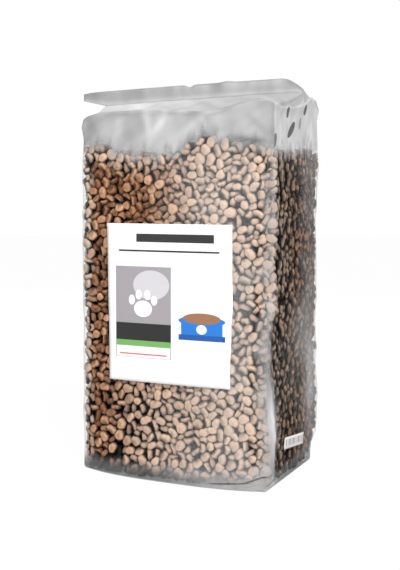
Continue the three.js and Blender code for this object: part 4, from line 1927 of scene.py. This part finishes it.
def label_print() -> tuple[Patch, ...]:
    """The front label's plain design: a heading bar, a food bowl and a panel with a paw print."""
    charcoal, grey, white = tint(38, 36, 38), tint(158, 154, 158), tint(250, 250, 250)
    pale, blue, deep_blue = tint(206, 203, 207), tint(28, 118, 205), tint(14, 84, 160)
    green, red, black = tint(112, 172, 92), tint(214, 96, 92), tint(24, 23, 24)
    panel_x, panel_z, bowl_x, bowl_z = -30.0, -10.0, 40.0, -22.0
    patches = [
        Patch(Outline.BAR, 8, 71, 46, 4.5, charcoal),
        Patch(Outline.BAR, 0, 57, 60, 1.0, charcoal),
        Patch(Outline.BAR, panel_x, panel_z, 34, 50, grey),
        Patch(Outline.DISC, panel_x + 10, panel_z + 30, 22, 16, pale),
        Patch(Outline.BAR, panel_x, panel_z - 22, 34, 10, black),
        Patch(Outline.BAR, panel_x, panel_z - 34, 34, 3, green),
        Patch(Outline.BAR, panel_x, panel_z - 43.5, 33, 6.0, white),
        Patch(Outline.BAR, panel_x, panel_z - 46, 29, 0.8, red),
        Patch(Outline.DISC, panel_x, panel_z + 4, 11, 9, white),
    ]
    for toe in range(4):
        turn = math.radians(36 * (toe - 1.5))
        toe_x, toe_z = panel_x + 17 * math.sin(turn), panel_z + 4 + 16 * math.cos(turn)
        patches.append(Patch(Outline.DISC, toe_x, toe_z, 3.8, 5.4, white))
    patches += [
        Patch(Outline.DISC, bowl_x, bowl_z + 6, 27, 5.5, blue),
        Patch(Outline.BAR, bowl_x, bowl_z - 5, 24, 10, blue),
        Patch(Outline.DISC, bowl_x, bowl_z + 8.5, 22, 6, tint(150, 108, 78)),
        Patch(Outline.BAR, bowl_x, bowl_z - 12, 27, 3, deep_blue),
        Patch(Outline.DISC, bowl_x, bowl_z - 3, 6, 5, white),
    ]
    return tuple(patches)


def sticker_print() -> tuple[Patch, ...]:
    """The side sticker's row of plain upright bars."""
    half_widths = (1.6, 0.8, 2.6, 1.0, 3.2, 0.9, 1.4, 2.8, 1.0, 1.8)
    half_height, row_half, row_slope = 3.6, 25.0, -7 / 57
    ink = tint(150, 146, 144)
    middles = np.linspace(-row_half, row_half, len(half_widths)).tolist()
    return tuple(
        Patch(Outline.BAR, middle, row_slope * middle, half_width, half_height, ink)
        for middle, half_width in zip(middles, half_widths)
    )


@dataclass(frozen=True)
class Lamp:
    """One soft studio lamp, aimed at the bag's middle."""

    name: str
    place: tuple[float, float, float]
    size: float
    power: float


@dataclass
class Studio:
    """The pale floor, the soft lamps and the camera at the photograph's angle."""

    camera_place: tuple[float, float, float] = (0.4488, -0.9810, 0.3130)
    camera_tilt: float = 84.45
    camera_turn: float = 24.66
    lens: float = 59.72
    sensor: float = 36.0
    ambient: float = 0.22
    aim: tuple[float, float, float] = (0.0, 0.0, 0.2)
    lamps: tuple[Lamp, ...] = (
        Lamp("key", (1.05, -1.25, 1.80), 0.45, 58.0),
        Lamp("fill", (-1.4, -1.1, 0.9), 0.9, 3.0),
        Lamp("top", (0.1, 0.2, 1.7), 0.8, 4.0),
        Lamp("back", (-1.0, 1.6, 0.9), 0.9, 14.0),
    )
    floor_radius: float = 6.0
    floor_drop: float = 0.0004
    floor_points: int = 48
    floor_roughness: float = 0.9
    floor_white: float = 0.98
    floor_tints: tuple[Tint, Tint] = (tint(236, 236, 237), tint(242, 242, 242))

    def build(self) -> None:
        """Makes the camera, the lamps, the world and the floor."""
        self.add_camera()
        for lamp in self.lamps:
            self.add_lamp(lamp)
        self.add_world()
        self.add_floor()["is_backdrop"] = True
        bpy.context.scene.view_settings.view_transform = "Standard"

    def add_camera(self) -> None:
        """Places the camera."""
        data = bpy.data.cameras.new("camera")
        data.lens, data.sensor_width, data.sensor_fit = self.lens, self.sensor, "AUTO"
        camera = bpy.data.objects.new("camera", data)
        camera.location = self.camera_place
        camera.rotation_euler = (math.radians(self.camera_tilt), 0, math.radians(self.camera_turn))
        bpy.context.scene.collection.objects.link(camera)
        bpy.context.scene.camera = camera

    def add_lamp(self, lamp: Lamp) -> None:
        """Hangs one lamp.

        Args:
            lamp: The lamp.
        """
        data = bpy.data.lights.new(lamp.name, "AREA")
        data.shape, data.size, data.energy = "DISK", lamp.size, lamp.power
        light = bpy.data.objects.new(lamp.name, data)
        light.location = lamp.place
        towards = Vector(self.aim) - Vector(lamp.place)
        light.rotation_euler = towards.to_track_quat("-Z", "Y").to_euler()
        bpy.context.scene.collection.objects.link(light)

    def seen_directly(self, desk: Desk) -> Socket:
        """Whether a ray comes from the camera, a reflection or glass, as 1 or 0."""
        path = desk.place("ShaderNodeLightPath").outputs
        either = desk.work_out(Sum.MOST, path["Is Camera Ray"], path["Is Glossy Ray"])
        return desk.work_out(Sum.MOST, either, path["Is Transmission Ray"])

    def add_world(self) -> None:
        """Makes the world: white to look at, and a soft grey light on the object."""
        world = bpy.data.worlds.new("studio")
        world.use_nodes = True
        bpy.context.scene.world = world
        desk = Desk(world.node_tree)
        ground = world.node_tree.nodes["Background"]
        desk.feed(ground.inputs["Color"], WHITE)
        extra = desk.work_out(Sum.TIMES, self.seen_directly(desk), 1 - self.ambient)
        desk.feed(ground.inputs["Strength"], desk.work_out(Sum.ADD, extra, self.ambient))

    def add_floor(self) -> bpy.types.Object:
        """Makes the floor, white to look at but for the bag's soft shadow."""
        count = self.floor_points
        turn = np.arange(count) * 2 * math.pi / count
        rim = np.stack([np.cos(turn), np.sin(turn), np.zeros(count)], 1) * self.floor_radius / MM
        floor = SheetMesh(np.vstack([rim, (0, 0, 0)]), [fan_faces(count, count)]).build("floor")
        floor.location.z = -self.floor_drop
        material = bpy.data.materials.new("studio_floor")
        material.use_nodes = True
        desk = Desk(material.node_tree)
        shader = material.node_tree.nodes["Principled BSDF"]
        shader.inputs["Roughness"].default_value = self.floor_roughness
        fibre = desk.place("ShaderNodeTexNoise", {"Scale": 3.0}).outputs[0]
        desk.feed(shader.inputs["Base Color"], desk.blend(fibre, *self.floor_tints))
        glow = desk.place("ShaderNodeEmission", {"Color": WHITE, "Strength": 1.0})
        share = desk.work_out(Sum.TIMES, self.seen_directly(desk), self.floor_white)
        mixed = desk.place("ShaderNodeMixShader", {0: share, 1: shader.outputs[0], 2: glow.outputs[0]})
        end = material.node_tree.nodes["Material Output"]
        desk.feed(end.inputs["Surface"], mixed.outputs[0])
        floor.data.materials.append(material)
        return floor


def dress(piece: bpy.types.Object, material: bpy.types.Material, slot: str, *nodes: str) -> None:
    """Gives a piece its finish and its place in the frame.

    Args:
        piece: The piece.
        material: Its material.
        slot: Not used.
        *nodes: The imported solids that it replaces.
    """
    piece.data.materials.append(material)
    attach(piece, ROOT)
    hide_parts(*nodes)
    log.info("%s: %d faces, finish %s", piece.name, len(piece.data.polygons), material.name)


def main() -> None:
    """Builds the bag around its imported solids."""
    logging.basicConfig(level=logging.INFO, format="%(name)s: %(message)s")
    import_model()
    solid_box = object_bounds()
    low, high = (np.array(corner) / MM for corner in solid_box)
    log.info("solids reach from %s to %s mm", low.round(1), high.round(1))
    form, top = BagForm(), TopForm()
    effects = Effects()
    Studio().build()
    food = KibbleFill(form)
    pieces = food.build()
    kibble = KibbleFinish().make(effects)
    for piece in pieces:
        dress(piece, kibble, "kibble", "kibble_fill")
    film = FilmFinish().make(effects)
    for piece in (FilmBag(form, top).build(food), FilmFin(top).build()):
        dress(piece, film, "clear_film", "film_bag")
    front = StuckLabel(form, Face.FRONT, middle=(-3.0, 194.0), size=(145.8, 172.6), lean=0.024)
    paper = PrintFinish(patches=label_print(), middle=front.middle).make(effects)
    dress(front.build("label_front"), paper, "label_paper", "front_label")
    side = StuckLabel(form, Face.RIGHT, middle=(-5.0, 40.0), size=(60.0, 13.0), tilt=math.radians(-7))
    sticker = PrintFinish(
        name="sticker_paper", paper=tint(222, 219, 217), patches=sticker_print(), middle=(-3.5, 40.0),
        panel=Face.RIGHT,
    ).make(effects)
    dress(side.build("sticker_side"), sticker, "sticker_paper", "side_label")


if __name__ == "__main__":
    main()
